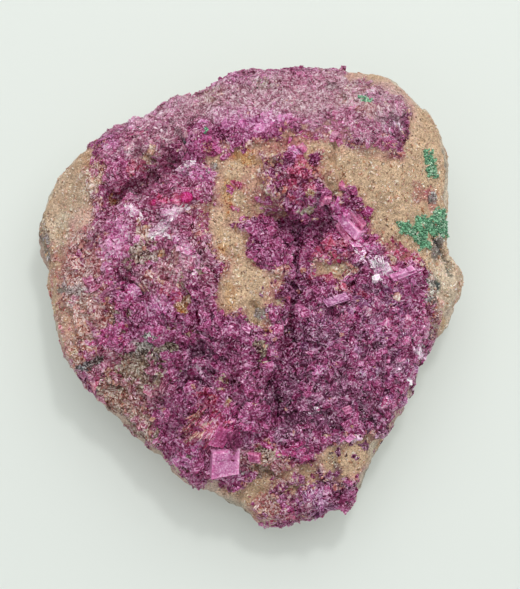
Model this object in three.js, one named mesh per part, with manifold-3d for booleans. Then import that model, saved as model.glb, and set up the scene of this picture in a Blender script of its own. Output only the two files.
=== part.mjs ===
// A hand specimen of cobaltoan dolomite: a slab of tan dolostone matrix, broken on its sides and
// underneath, whose upper side carries a crust of raspberry-pink rhombic crystals and a few thin
// coats of green malachite. Millimetres, +Z up, the slab lying on its broken underside.
import * as THREE from "three";
import { mergeVertices } from "three/addons/utils/BufferGeometryUtils.js";
import { ImprovedNoise } from "three/addons/math/ImprovedNoise.js";
import Module from "manifold-3d";

const wasm = await Module();
wasm.setup();

// ---- driving dimensions ----
const HUB = [0, 2]; // the point every azimuth is counted from
const TOP_EDGE = 2.8; // length of a triangle's edge on the upper side
const TOP_RINGS = 15;
const RIM_INSET = 1.7; // how far the upper side's rim lies inside the widest outline
const BACK_INSET = 2.2; // more of the same, towards the back
const GIRTH_SHARE = 0.62; // height of the widest outline, as a share of the rim's height
const UNDERCUT = 4.2; // how far the foot lies inside the widest outline
const FRONT_LEFT_UNDERCUT = 3.0; // more of the same, towards the front left
const FRONT_LEFT = (225 * Math.PI) / 180;
const SPOT_REACH = 4.0; // how far a spot height is felt
const LUMP = { height: 0.55, length: 5.5 }; // gentle unevenness of the upper side
const WALL_LUMP = { height: 1.6, length: 8 };
const FOOT_HOLLOW = { height: 1.5, length: 9 }; // hollows left between the feet of the underside
const CRUST = { thin: 1.0, thick: 2.0, length: 6.5 };
const COAT = 0.6; // thickness of a malachite coat
const GAP = 0.3; // clearance between a crust or coat and the matrix under it
const HUGE = 90; // size of a cutter, more than the whole specimen

// Widest outline, seen from above, counterclockwise from the right-hand corner.
const GIRTH_OUTLINE = [
  [37.3, 4.8], [35.4, 8.3], [33.5, 10.5], [34.2, 15.5], [34.8, 20], [34.8, 24], [34, 28], [32.7, 31.3],
  [30, 34], [27, 37.5], [24.5, 40], [22.5, 40.5], [17, 40.5], [10, 41.5], [5, 41], [0, 41.5],
  [-3.5, 40.5], [-6.5, 38], [-9.5, 36], [-12.5, 36], [-18.5, 32.5], [-23.5, 31], [-29, 26.5],
  [-32, 24], [-34, 21.5], [-36, 16.5], [-37, 14], [-36, 11], [-35, 8], [-34, 1.5], [-33, -4],
  [-31.5, -9], [-27.5, -14], [-24, -17.5], [-21, -20.5], [-16.5, -24.5], [-14, -26], [-11, -30.5],
  [-8, -31.5], [-5.5, -31], [-1, -34.6], [3, -37.8], [6.5, -36.8], [10.5, -36.5], [13.5, -34.5],
  [16.5, -35.5], [18, -34], [19.4, -30], [21.3, -26.2], [24.3, -21.4], [27.7, -16.3], [28.6, -11.3],
  [31, -8], [34.4, -2.5], [37, 1.8],
];

// Flat faces where pieces broke off the walls. Each looks outwards along its azimuth, turned
// down by its lean, and meets the widest outline at its height. Angles are in degrees.
const BREAKS = [
  { azimuth: 2, lean: 32, height: 10 },
  { azimuth: 47, lean: 24, height: 11 },
  { azimuth: 84, lean: 38, height: 12 },
  { azimuth: 119, lean: 22, height: 9 },
  { azimuth: 152, lean: 40, height: 11 },
  { azimuth: 189, lean: 30, height: 7 },
  { azimuth: 214, lean: 44, height: 9 },
  { azimuth: 234, lean: 36, height: 7 },
  { azimuth: 272, lean: 30, height: 5 },
  { azimuth: 318, lean: 42, height: 8 },
  { azimuth: 338, lean: 26, height: 7 },
];
const BREAK_INSET = 0.6;

// Spot heights of the upper side: [x, y, z].
const SPOT_HEIGHTS = [
  // back edge
  [-2.5, 37.5, 19], [2, 38, 19], [10, 38, 20], [17.5, 37, 20], [23.5, 37, 20], [-9, 33, 20],
  [-14, 32, 19], [-20, 30, 18], [-25, 26.5, 17],
  // right edge
  [28.5, 31.5, 21], [32, 26.5, 20], [32.5, 20.5, 20], [32.5, 15.5, 20], [32.5, 10.5, 19],
  [35, 4.5, 15], [33.5, -1.5, 14], [30.5, -7.5, 14], [27.5, -15, 13], [24, -20.5, 12],
  [20.5, -26.5, 12], [17, -32.5, 12],
  // front edge
  [14.5, -35, 11], [9.5, -35.5, 11], [3, -35.5, 9], [-1, -32, 10], [-7, -30, 13], [-12, -27.5, 12],
  [-14.5, -24, 11], [-19, -20.5, 11], [-23, -16.5, 11], [-26.5, -12, 12],
  // left edge
  [-30.5, -7, 13], [-32, -1, 13], [-33, 4, 13], [-34, 11, 13], [-34.5, 14.5, 13], [-32, 19, 15],
  [-28.5, 24, 16],
  // crest across the back, and the slope behind it
  [-9.5, 25.5, 26], [-3.5, 25.5, 26.5], [2, 24.5, 27], [9, 24, 28], [13.5, 24, 28.5],
  [20.5, 28, 27], [24.5, 30.5, 25], [-1, 32, 23], [5.5, 31.5, 23.5], [12, 31.5, 24.5],
  [17.5, 33.5, 23],
  // bare plateau on the right
  [16, 20.5, 28.5], [20, 17.5, 28], [25, 20.5, 26.5], [28.5, 22, 24.5], [25, 13, 25],
  [22, 10.5, 25], [29.5, 14, 22.5], [17.5, 15, 27.5],
  // ledge and tongue in the middle
  [8.5, 20, 28], [10.5, 18, 27.5], [4.5, 18.5, 27], [1.5, 20, 27], [-2, 19.5, 26.5],
  [-3.5, 14.5, 26.5], [-5, 10.5, 26], [-2, 7, 26], [0, 1, 26], [-2, -2, 25.5], [3, -0.5, 25.5],
  [0.5, -7, 24.5],
  // spine running to the front
  [2.5, 9, 25.5], [4.5, 5.5, 25.5], [4, -5, 24.5], [3, -10, 24], [2.5, -15, 22.5], [-1, -11.5, 23],
  // bowl on the right
  [12, 7, 22], [17, 9.5, 23], [20.5, 6, 22.5], [25.5, 4.5, 21.5], [29, 2.5, 19.5],
  [15.5, 0.5, 21], [22, -1, 20.5], [27, -4, 18.5], [10.5, -1, 21.5], [10.5, -7.5, 20.5],
  [17, -7.5, 20], [23.5, -9, 18], [10.5, -14, 19], [17, -15, 18], [22, -15.5, 16.5],
  [9, -20.5, 17.5], [14, -21.5, 16.5], [19, -22, 15],
  // toe at the front
  [18, -26, 15], [13.5, -27, 16], [10.5, -29.5, 15.5], [6.5, -31, 15.5], [3, -32, 14.5],
  [13.5, -31, 15], [12, -34, 12.5],
  // left side, from the back to the front
  [-23, 23, 20.5], [-18, 24, 23], [-12.5, 25, 24.5], [-11, 21, 24], [-8.5, 22.5, 25],
  [-7.5, 18.5, 25], [-24.5, 19.5, 20], [-25.5, 15, 18.5], [-17.5, 13, 22.5], [-13.5, 12.5, 23.5],
  [-10, 15, 24], [-14.5, 8.5, 22.5], [-19.5, 9, 21.5], [-26.5, 9.5, 18], [-9.5, 8.5, 24],
  [-7, 5, 24.5], [-12.5, 3.5, 22.5], [-17.5, 2, 21.5], [-22, 1, 19.5], [-27.5, 1, 16],
  [-11, -3, 22.5], [-7, -5, 23.5], [-16, -4.5, 21], [-21, -5.5, 18.5], [-25.5, -7, 15.5],
  [-7, -8.5, 21.5], [-12.5, -11, 19], [-17.5, -10.5, 18], [-23, -12, 14.5], [-5, -13, 21.5],
  [-9.5, -15, 18], [-16, -17, 15.5], [-7.5, -19, 17.5], [-2.5, -17.5, 20], [-11, -22, 15],
  [-5, -24, 17], [-1, -22.5, 18.5], [4, -24, 17], [-3.5, -28, 16.5], [-8.5, -27.5, 14.5],
  [-0.5, -28.5, 16],
];

// Narrow troughs of the upper side: a line, its half width and its depth.
const TROUGHS = [
  // groove beside the spine
  { line: [[7.5, 9], [7.2, 2.4], [7, -1], [6.2, -6], [5.5, -11], [4.9, -19]], half: 2.1, depth: 4.2 },
  // pocket under the ledge
  { line: [[4.2, 11.8], [7.2, 12.3], [10.2, 12.6], [13, 11.8]], half: 2.5, depth: 4.8 },
  // left hollow
  { line: [[-20.5, 16.6], [-17.5, 18.6], [-15, 20], [-12.4, 21.8]], half: 2.3, depth: 4.2 },
  // notch left of the spine
  { line: [[-8, -6.5], [-7, -10]], half: 2.0, depth: 1.8 },
  // cleft behind the toe
  { line: [[3, -33], [7.5, -32.2], [11, -28]], half: 1.3, depth: 1.6 },
];

// Places where the matrix shows through the crust, seen from above.
const BARE_PLACES = {
  tongue: [
    [-5.8, 22], [-1.2, 23], [2.6, 22], [5.2, 23.2], [7.4, 24.4], [12.2, 25.2], [17.4, 26.6],
    [17.4, 23], [12.4, 23.6], [8.8, 22.8], [6.2, 21.4], [3.6, 20], [2.6, 18.2], [5.2, 16.2],
    [5.4, 13.8], [2.6, 12.4], [-2.4, 10.4], [-1, 8.4], [0.2, 6.2], [2.6, 3.8], [5.6, 3.2],
    [5.2, -0.8], [3.8, -2.6], [2.6, -4.6], [2.8, -8.2], [1.6, -7.2], [-0.4, -4.2], [-3.6, -4.2],
    [-4, -0.6], [-3.4, 3.2], [-5, 6.2], [-7, 8.4], [-6.6, 12.2], [-5, 15.2], [-4.4, 18.2],
  ],
  plateau: [
    [16, 23], [17.4, 23.8], [20.6, 23], [24, 21.8], [25.6, 23], [27, 26.6], [27.6, 30],
    [26.2, 32.8], [22.8, 34.4], [20, 46], [40, 46], [42, 20], [42, -7], [32, -7.6], [31.8, -2.2],
    [29.8, 2.8], [29.2, 6.2], [25.8, 7], [21.8, 6.8], [20.6, 8.4], [19.6, 10.4], [18, 12.6],
    [15.6, 14.8], [15, 18.6],
  ],
  front_band: [
    [26, -24.2], [16.4, -24.2], [13.8, -26], [11.2, -27.2], [9.4, -30], [6.8, -29.6], [3.6, -31.2],
    [-0.2, -32.8], [-4, -46], [2.6, -46], [2.8, -36.2], [4.2, -33.6], [6.8, -33.2], [9.2, -31.8],
    [10.6, -30], [11.2, -28.2], [14.4, -28], [16.4, -29.6], [17.4, -32.2], [26, -34],
  ],
  left_flank: [
    [-25.6, 27], [-26.4, 23.4], [-26.8, 19.2], [-26, 15], [-27.6, 11.2], [-29.2, 6.6],
    [-30.4, 1.8], [-29.6, -5], [-30.8, -12.2], [-44, -14], [-44, 30], [-32, 34],
  ],
  bowl_spot: [
    [11, 4.8], [12.4, 5.4], [14.4, 4.6], [16.2, 3.4], [15.4, 2.4], [13.4, 2.8], [11.4, 3.6],
  ],
};

// Malachite coats on the bare matrix, seen from above.
const MALACHITE_COATS = {
  malachite_patch: [
    [25.4, 11.4], [26.4, 11.4], [27.2, 10.8], [28.6, 12.4], [30.2, 12.6], [31.4, 14], [33, 14.6],
    [34.2, 13], [33.4, 10.6], [31.2, 9.8], [29.8, 9.8], [30.4, 8], [28.9, 7.6], [27.6, 9.2],
    [25.8, 9.4],
  ],
  malachite_streak: [
    [29.6, 24.2], [31, 24.2], [31.2, 22.4], [31.8, 20.8], [31.2, 19.4], [30.2, 19.8], [29.4, 21.8],
  ],
};

// The crystals that stand out: [x, y, edge length, tilt of the long axis, azimuth of the tilt, spin].
// Angles are in degrees.
const LARGE_CRYSTALS = [
  [-3.4, -27.8, 4.4, 50, 255, 10], // the broad cleaved face near the front
  [-3.2, -23.9, 4.0, 35, 200, 40],
  [16.6, 11.2, 3.4, 62, 300, 20], // the blade on the pocket's right shoulder
  [17.6, 9.6, 2.8, 55, 320, 60],
  [-15.2, 13.2, 3.2, 48, 80, 15],
  [-11.4, 11.6, 3.4, 52, 60, 35],
  [-12.6, 10.4, 2.8, 40, 110, 75],
  [22, 4.6, 3.0, 50, 150, 25],
  [15.6, -1.5, 2.8, 55, 90, 0],
  [13, -12.4, 3.4, 46, 70, 50],
  [16.6, -19.4, 2.6, 50, 40, 20],
  [17.4, -23.2, 2.4, 55, 20, 65],
  [-10.6, 14.6, 2.2, 30, 0, 0],
  [-14.4, 14.8, 2.2, 40, 200, 30],
  [8.6, 21.8, 2.0, 35, 250, 10],
  [-10, 5, 3.6, 55, 230, 45],
  [-8.4, 2.8, 3.0, 50, 215, 80],
  [-24, 9.4, 3.6, 45, 160, 30],
  [-22.2, 6.6, 3.0, 50, 140, 70],
  [1.4, -26.8, 2.6, 50, 330, 20],
  [-1.6, -17.4, 2.8, 45, 120, 55],
  [-1, -20, 2.4, 50, 280, 15],
  [23, -6, 2.6, 45, 10, 35],
  [19, -9.6, 2.8, 55, 60, 5],
  [13.2, -31.4, 3.4, 45, 300, 25],
  [15.2, -33, 2.6, 55, 330, 60],
  [-9.4, -28.6, 3.0, 50, 240, 35],
  [20.6, -0.6, 2.6, 50, 200, 50],
];
const SMALL_CRYSTALS = { spacing: 6.6, smallest: 1.7, largest: 3.1 };
const C_AXIS_TO_EDGE = (63.8 * Math.PI) / 180; // of the cleavage rhombohedron of dolomite

// ---- noise and plane geometry ----
const perlin = new ImprovedNoise();

function lumps(x, y, z, { height, length }) {
  const p = [x / length, y / length, z / length];
  return height * (perlin.noise(...p) + 0.5 * perlin.noise(2.1 * p[0] + 9, 2.1 * p[1], 2.1 * p[2]));
}

// A repeatable number from 0 to 1 for each pair of whole numbers.
function chance(i, j) {
  const s = Math.sin(i * 127.1 + j * 311.7) * 43758.5453;
  return s - Math.floor(s);
}

function smoothstep(low, high, value) {
  return THREE.MathUtils.smoothstep(value, low, high);
}

function distanceToLine(x, y, line) {
  let best = Infinity;
  for (let i = 1; i < line.length; i++) {
    const [ax, ay] = line[i - 1];
    const [dx, dy] = [line[i][0] - ax, line[i][1] - ay];
    const along = THREE.MathUtils.clamp(((x - ax) * dx + (y - ay) * dy) / (dx * dx + dy * dy), 0, 1);
    best = Math.min(best, Math.hypot(x - ax - along * dx, y - ay - along * dy));
  }
  return best;
}

function inside(x, y, outline) {
  let odd = false;
  outline.forEach(([ax, ay], i) => {
    const [bx, by] = outline[(i + 1) % outline.length];
    if (ay > y !== by > y && x < ax + ((y - ay) * (bx - ax)) / (by - ay)) odd = !odd;
  });
  return odd;
}

// ---- the form of the specimen ----
// Distance from the hub to the widest outline along an azimuth.
function girthRadius(azimuth) {
  const [ux, uy] = [Math.cos(azimuth), Math.sin(azimuth)];
  let radius = 0;
  GIRTH_OUTLINE.forEach(([ax, ay], i) => {
    const [bx, by] = GIRTH_OUTLINE[(i + 1) % GIRTH_OUTLINE.length];
    const [px, py, dx, dy] = [ax - HUB[0], ay - HUB[1], bx - ax, by - ay];
    const cross = ux * dy - uy * dx;
    const along = (uy * px - ux * py) / cross;
    const distance = (px * dy - py * dx) / cross;
    if (along >= 0 && along <= 1 && distance > 0) radius = Math.max(radius, distance);
  });
  return radius;
}

function upperHeight(x, y) {
  let sum = 0;
  let weight = 0;
  for (const [sx, sy, sz] of SPOT_HEIGHTS) {
    const felt = Math.exp(-((x - sx) ** 2 + (y - sy) ** 2) / SPOT_REACH ** 2);
    sum += felt * sz;
    weight += felt;
  }
  let carved = 0;
  for (const { line, half, depth } of TROUGHS) {
    carved += depth * Math.exp(-((distanceToLine(x, y, line) / half) ** 2));
  }
  return sum / weight - carved + lumps(x, y, 0, LUMP);
}

const rimInset = (azimuth) => RIM_INSET + BACK_INSET * Math.max(0, Math.sin(azimuth)) ** 3;
const rimRadius = (azimuth) => girthRadius(azimuth) - rimInset(azimuth);

function rimHeight(azimuth) {
  const r = rimRadius(azimuth);
  return upperHeight(HUB[0] + r * Math.cos(azimuth), HUB[1] + r * Math.sin(azimuth));
}

function footRadius(azimuth) {
  const more = FRONT_LEFT_UNDERCUT * Math.max(0, Math.cos(azimuth - FRONT_LEFT));
  return girthRadius(azimuth) - UNDERCUT - more;
}

function underHeight(x, y, share) {
  const rise = 1.8 * smoothstep(0.78, 1, share);
  return Math.max(0, rise + lumps(x, y, 40, FOOT_HOLLOW) - 0.25);
}

// The rings of vertices, from the middle of the upper side over the rim and down to the middle of
// the underside. Each gives a point [radius, height, lean] for an azimuth, where lean turns the
// direction in which a crust thickens from straight up (0) to straight outwards (1).
function upperRing(share) {
  return {
    count: Math.max(6, Math.round((2 * Math.PI * 36 * share) / TOP_EDGE)),
    at(azimuth) {
      const r = share * rimRadius(azimuth);
      const z = upperHeight(HUB[0] + r * Math.cos(azimuth), HUB[1] + r * Math.sin(azimuth));
      return [r, z, 0.55 * smoothstep(0.85, 1, share)];
    },
    crusted: 1,
  };
}

function wallRing(count, radiusOf, heightShare, crusted, lean) {
  return {
    count,
    at(azimuth) {
      const z = rimHeight(azimuth) * heightShare;
      const r = radiusOf(azimuth);
      const bump = lumps(r * Math.cos(azimuth), r * Math.sin(azimuth), z, WALL_LUMP);
      return [r + bump * (heightShare > 0.3 ? 0.4 : 1), z, lean];
    },
    crusted,
  };
}

function underRing(share) {
  return {
    count: Math.max(6, Math.round(72 * share)),
    at(azimuth) {
      const r = share * footRadius(azimuth);
      const [x, y] = [r * Math.cos(azimuth), r * Math.sin(azimuth)];
      return [r, underHeight(HUB[0] + x, HUB[1] + y, share), 1];
    },
    crusted: 0,
  };
}

const mix = (a, b, share) => a + (b - a) * share;
const between = (share) => (azimuth) => mix(girthRadius(azimuth), footRadius(azimuth), share);
const RINGS = [
  ...Array.from({ length: TOP_RINGS }, (_, i) => upperRing((i + 1) / TOP_RINGS)),
  wallRing(92, (azimuth) => girthRadius(azimuth) - 0.5 * rimInset(azimuth), 0.86, 0.8, 0.8),
  wallRing(88, girthRadius, GIRTH_SHARE, 0, 1),
  wallRing(80, between(0.3), 0.36, 0, 1),
  wallRing(72, between(0.75), 0.16, 0, 1),
  ...[1, 0.84, 0.66, 0.46, 0.24].map(underRing),
];

// Thickness of the crust over a point, before it thins out over the rim.
function crustThickness(x, y) {
  const swell = 0.5 + lumps(x, y, 90, { height: 0.75, length: CRUST.length });
  return mix(CRUST.thin, CRUST.thick, THREE.MathUtils.clamp(swell, 0, 1));
}

// The specimen's surface with its upper side moved out by thicknessOf(x, y, crusted).
function raisedRock(thicknessOf) {
  const positions = [];
  const starts = [];
  const place = (azimuth, [r, z, lean], crusted) => {
    const [ux, uy] = [Math.cos(azimuth), Math.sin(azimuth)];
    const [x, y] = [HUB[0] + r * ux, HUB[1] + r * uy];
    const out = thicknessOf(x, y, crusted);
    const [across, up] = [Math.sin((lean * Math.PI) / 2), Math.cos((lean * Math.PI) / 2)];
    positions.push(x + out * across * ux, y + out * across * uy, z + out * up);
  };
  place(0, [0, upperHeight(...HUB), 0], 1);
  for (const ring of RINGS) {
    starts.push(positions.length / 3);
    for (let i = 0; i < ring.count; i++) {
      const azimuth = (2 * Math.PI * i) / ring.count;
      place(azimuth, ring.at(azimuth), ring.crusted);
    }
  }
  const last = positions.length / 3;
  place(0, [0, underHeight(...HUB, 0), 1], 0);

  const index = [];
  for (let i = 0; i < RINGS[0].count; i++) index.push(0, 1 + i, 1 + ((i + 1) % RINGS[0].count));
  for (let k = 1; k < RINGS.length; k++) {
    joinRings(index, starts[k - 1], RINGS[k - 1].count, starts[k], RINGS[k].count);
  }
  const foot = starts.at(-1);
  const n = RINGS.at(-1).count;
  for (let i = 0; i < n; i++) index.push(last, foot + ((i + 1) % n), foot + i);
  const rock = new THREE.BufferGeometry();
  rock.setAttribute("position", new THREE.Float32BufferAttribute(positions, 3));
  rock.setIndex(index);
  return rock;
}

// Fills the band between two rings that may have different numbers of vertices.
function joinRings(index, inner, innerCount, outer, outerCount) {
  let i = 0;
  let j = 0;
  while (i < innerCount || j < outerCount) {
    const a = inner + (i % innerCount);
    const b = outer + (j % outerCount);
    if (j >= outerCount || (i < innerCount && (i + 1) / innerCount <= (j + 1) / outerCount)) {
      index.push(a, b, inner + ((i + 1) % innerCount));
      i++;
    } else {
      index.push(a, b, outer + ((j + 1) % outerCount));
      j++;
    }
  }
}

// ---- solids ----
function solidOf(geometry) {
  const bare = new THREE.BufferGeometry();
  const flat = geometry.index ? geometry.toNonIndexed() : geometry;
  bare.setAttribute("position", flat.getAttribute("position"));
  const merged = mergeVertices(bare, 1e-4);
  return new wasm.Manifold(
    new wasm.Mesh({
      numProp: 3,
      vertProperties: new Float32Array(merged.attributes.position.array),
      triVerts: new Uint32Array(merged.index.array),
    }),
  );
}

function geometryOf(solid) {
  const { vertProperties, triVerts } = solid.getMesh();
  const geometry = new THREE.BufferGeometry();
  geometry.setAttribute("position", new THREE.BufferAttribute(vertProperties, 3));
  geometry.setIndex(new THREE.BufferAttribute(triVerts, 1));
  geometry.computeVertexNormals();
  return geometry;
}

// An upright cutter with the plan of an outline.
function cutter(outline) {
  const plan = new THREE.Shape(outline.map(([x, y]) => new THREE.Vector2(x, y)));
  return solidOf(new THREE.ExtrudeGeometry(plan, { depth: HUGE, bevelEnabled: false }));
}

// A block whose inner face is one of the BREAKS.
function breakBlock({ azimuth, lean, height }) {
  const [turn, down] = [THREE.MathUtils.degToRad(azimuth), THREE.MathUtils.degToRad(lean)];
  const [ux, uy] = [Math.cos(turn), Math.sin(turn)];
  const reach = Math.max(...GIRTH_OUTLINE.map(([x, y]) => (x - HUB[0]) * ux + (y - HUB[1]) * uy));
  const placed = new THREE.Matrix4()
    .makeTranslation(HUB[0] + (reach - BREAK_INSET) * ux, HUB[1] + (reach - BREAK_INSET) * uy, height)
    .multiply(new THREE.Matrix4().makeRotationZ(turn))
    .multiply(new THREE.Matrix4().makeRotationY(down))
    .multiply(new THREE.Matrix4().makeTranslation(HUGE / 2, 0, 0));
  return solidOf(new THREE.BoxGeometry(HUGE, HUGE, HUGE).applyMatrix4(placed));
}

// A cleavage rhombohedron with edges of the given length, centred on [x, y, z].
function rhombohedron([x, y, z], edge, tilt, tiltAzimuth, spin) {
  const edges = [0, 120, 240].map((turn) => {
    const angle = THREE.MathUtils.degToRad(turn + spin);
    const s = Math.sin(C_AXIS_TO_EDGE);
    return new THREE.Vector3(s * Math.cos(angle), s * Math.sin(angle), Math.cos(C_AXIS_TO_EDGE));
  });
  const tiltAxis = new THREE.Vector3(
    -Math.sin(THREE.MathUtils.degToRad(tiltAzimuth)),
    Math.cos(THREE.MathUtils.degToRad(tiltAzimuth)),
    0,
  );
  const matrix = new THREE.Matrix4()
    .makeBasis(...edges)
    .premultiply(new THREE.Matrix4().makeRotationAxis(tiltAxis, THREE.MathUtils.degToRad(tilt)))
    .setPosition(x, y, z);
  return solidOf(new THREE.BoxGeometry(edge, edge, edge).applyMatrix4(matrix));
}

// Distance inside the crusted region: the least distance to any bare place, or -1 within one.
function crustMargin(x, y) {
  let margin = Infinity;
  for (const outline of Object.values(BARE_PLACES)) {
    if (inside(x, y, outline)) return -1;
    margin = Math.min(margin, distanceToLine(x, y, [...outline, outline[0]]));
  }
  const r = Math.hypot(x - HUB[0], y - HUB[1]);
  return Math.min(margin, rimRadius(Math.atan2(y - HUB[1], x - HUB[0])) - r);
}

function seat(x, y, edge, sunk) {
  return [x, y, upperHeight(x, y) + crustThickness(x, y) - sunk * edge];
}

function largeCrystals() {
  return LARGE_CRYSTALS.map(([x, y, edge, tilt, azimuth, spin]) =>
    rhombohedron(seat(x, y, edge, 0.12), edge, tilt, azimuth, spin),
  );
}

function smallCrystals() {
  const { spacing, smallest, largest } = SMALL_CRYSTALS;
  const made = [];
  for (let i = -8; i <= 8; i++) {
    for (let j = -9; j <= 9; j++) {
      const x = (i + 0.8 * (chance(i, j) - 0.5) + 0.5 * (j & 1)) * spacing;
      const y = (j * 0.87 + 0.7 * (chance(j, i + 40) - 0.5)) * spacing;
      const edge = mix(smallest, largest, chance(i + 7, j) ** 2);
      const crowded = LARGE_CRYSTALS.some(([lx, ly, big]) => Math.hypot(x - lx, y - ly) < 0.8 * big + edge);
      if (crowded || crustMargin(x, y) < 1.1 * edge) continue;
      const tilt = mix(25, 70, chance(i, j + 3));
      const [azimuth, spin] = [360 * chance(i + 3, j), 120 * chance(i - 9, j)];
      made.push(rhombohedron(seat(x, y, edge, 0.1), edge, tilt, azimuth, spin));
    }
  }
  return made;
}

// A skin on the upper side, clear of the matrix, that thins out where it wraps over the rim.
function skin(thicknessOf) {
  const outer = raisedRock((x, y, crusted) => mix(-1, GAP + thicknessOf(x, y), crusted));
  return solidOf(outer).subtract(clearOfMatrix);
}

function largestPiece(solid) {
  return solid.decompose().reduce((most, piece) => (piece.volume() > most.volume() ? piece : most));
}

const clearOfMatrix = solidOf(raisedRock(() => GAP));
const breakBlocks = BREAKS.map(breakBlock);
const broken = (solid) => breakBlocks.reduce((left, block) => left.subtract(block), solid);

const matrixSolid = broken(solidOf(raisedRock(() => 0)));
const bareCutters = Object.values(BARE_PLACES).map(cutter);
const crustBed = bareCutters.reduce((left, cut) => left.subtract(cut), broken(skin(crustThickness)));
const crystals = [...largeCrystals(), ...smallCrystals()].map((crystal) =>
  largestPiece(crystal.subtract(clearOfMatrix)),
);
const crustPieces = wasm.Manifold.union([crustBed, ...crystals])
  .decompose()
  .sort((a, b) => b.volume() - a.volume());
const coatSkin = skin(() => COAT);

// ---- the parts ----
const MATERIALS = {
  matrix: new THREE.MeshStandardMaterial({ color: 0xb89a78, roughness: 0.95, metalness: 0 }),
  dolomite: new THREE.MeshStandardMaterial({ color: 0xa03a7c, roughness: 0.35, metalness: 0 }),
  malachite: new THREE.MeshStandardMaterial({ color: 0x2f8f5a, roughness: 0.8, metalness: 0 }),
};

const specimen = new THREE.Group();

function addPart(name, solid, material) {
  const mesh = new THREE.Mesh(geometryOf(solid), material);
  mesh.name = name;
  specimen.add(mesh);
}

addPart("matrix", matrixSolid, MATERIALS.matrix);
addPart("dolomite_crust", crustPieces[0], MATERIALS.dolomite);
addPart("toe_crust", crustPieces[1], MATERIALS.dolomite);
for (const [name, outline] of Object.entries(MALACHITE_COATS)) {
  addPart(name, coatSkin.intersect(cutter(outline)), MATERIALS.malachite);
}

// Centre the specimen over the origin, with its lowest point at height 0.
const extent = new THREE.Box3().setFromObject(specimen);
const middle = extent.getCenter(new THREE.Vector3());
specimen.position.set(-middle.x, -middle.y, -extent.min.z);

export default specimen;
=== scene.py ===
"""The looks of a cobaltoan dolomite specimen: a broken slab of tan dolostone whose upper side
carries a druse of raspberry-pink rhombic crystals and thin coats of malachite.

Lengths are in millimetres until a mesh is written; Blender's own units are metres."""
import itertools
import math

import bmesh
import bpy
import numpy as np
from mathutils import Matrix, Vector
from mathutils.bvhtree import BVHTree


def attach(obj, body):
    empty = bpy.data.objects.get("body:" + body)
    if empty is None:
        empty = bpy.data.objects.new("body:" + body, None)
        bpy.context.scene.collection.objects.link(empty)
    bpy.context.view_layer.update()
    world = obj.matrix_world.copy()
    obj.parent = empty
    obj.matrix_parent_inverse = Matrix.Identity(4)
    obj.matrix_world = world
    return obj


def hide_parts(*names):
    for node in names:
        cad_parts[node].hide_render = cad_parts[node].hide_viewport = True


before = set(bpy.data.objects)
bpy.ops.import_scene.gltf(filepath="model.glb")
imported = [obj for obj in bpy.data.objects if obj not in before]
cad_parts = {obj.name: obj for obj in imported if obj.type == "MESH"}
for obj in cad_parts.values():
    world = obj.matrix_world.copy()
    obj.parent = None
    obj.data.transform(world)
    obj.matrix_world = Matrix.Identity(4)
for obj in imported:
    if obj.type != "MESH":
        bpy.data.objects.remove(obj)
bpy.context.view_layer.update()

MM = 0.001
MARK = np.array([-0.25, -1.81])  # plan places are counted from here, in the frame's own x and y

# ---- the rock ----
VOXEL = 0.42  # grain of the rock's mesh
EASE_STEPS = 14  # rounds off the solid's flat triangles
CRUST_LIFT = 0.95  # how far the crust's bed stands above the bare rock
RIM_WRAP = (0.02, 0.4)  # the crust ends where the surface turns from the upper side to a wall
# Well inside the rim, in plan. Here a steep spot still counts as part of the upper side.
INTERIOR = [(31, 4), (29, 19), (23, 29), (10, 35), (-5, 35), (-17, 29.5), (-27, 21.5), (-31, 10), (-31, -2),
            (-25, -13), (-14, -23), (-5, -28), (8, -29), (15, -25), (23, -15.5), (28, -5)]
INTERIOR_FLOOR = 6  # below this height nothing counts as inside the rim
BROKEN = {"length": 7.0, "height": 1.1}  # the steps of the walls and the underside
ROCK_COLOURS = {  # sRGB, 0 to 255
    "wall": (206, 192, 174), "grey streak": (150, 142, 134), "blush": (196, 150, 146),
    # rim: partly painted light, paling the band where the top turns down into shade
    "bare top": (208, 176, 146), "border": (204, 142, 134), "bed": (136, 46, 92), "rim": (232, 216, 200),
}
SPECK_COLOUR = (0.13, 0.06, 0.035, 1)  # linear light

# Patterns of noise: (length of the broadest waves, height, layers, seed). Where the height is 1,
# the code that uses the pattern scales it.
NOISES = {
    "fray of a bare place": (2.6, 1.6, 3, 5),
    "fray of a patch": (1.6, 0.6, 3, 9),
    "fray of the dust": (3.0, 0.25, 3, 13),
    "fray of the rim": (3.0, 0.22, 2, 3),
    "fray of the malachite": (1.2, 1, 3, 170),
    "ridges of the walls": (4.2, 1, 3, 12),
    "roughness of the walls": (1.1, 0.16, 2, 52),
    "swell of the crust": (4.5, 0.45, 3, 44),
    "swell of the bare rock": (4.0, 1, 3, 25),
    "grain of the bare rock": (0.9, 0.1, 2, 21),
    "pits of the bare rock": (0.9, 1, 1, 33),
    "tone of the walls": (6.0, 0.12, 1, 81),
    "streaks of the walls": (7.0, 1, 3, 84),
    "blush of the walls": (9.0, 1, 3, 88),
    "tone of the bare top": (3.0, 0.1, 1, 90),
    "tone of the druse": (1.1, 1, 1, 140),
    "tone of a large crystal": (0.9, 0.5, 2, 160),
    "tone of the malachite": (0.8, 0.5, 1, 180),
    "lean of the blades": (1.6, 0.5, 1, 150),
}

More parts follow.
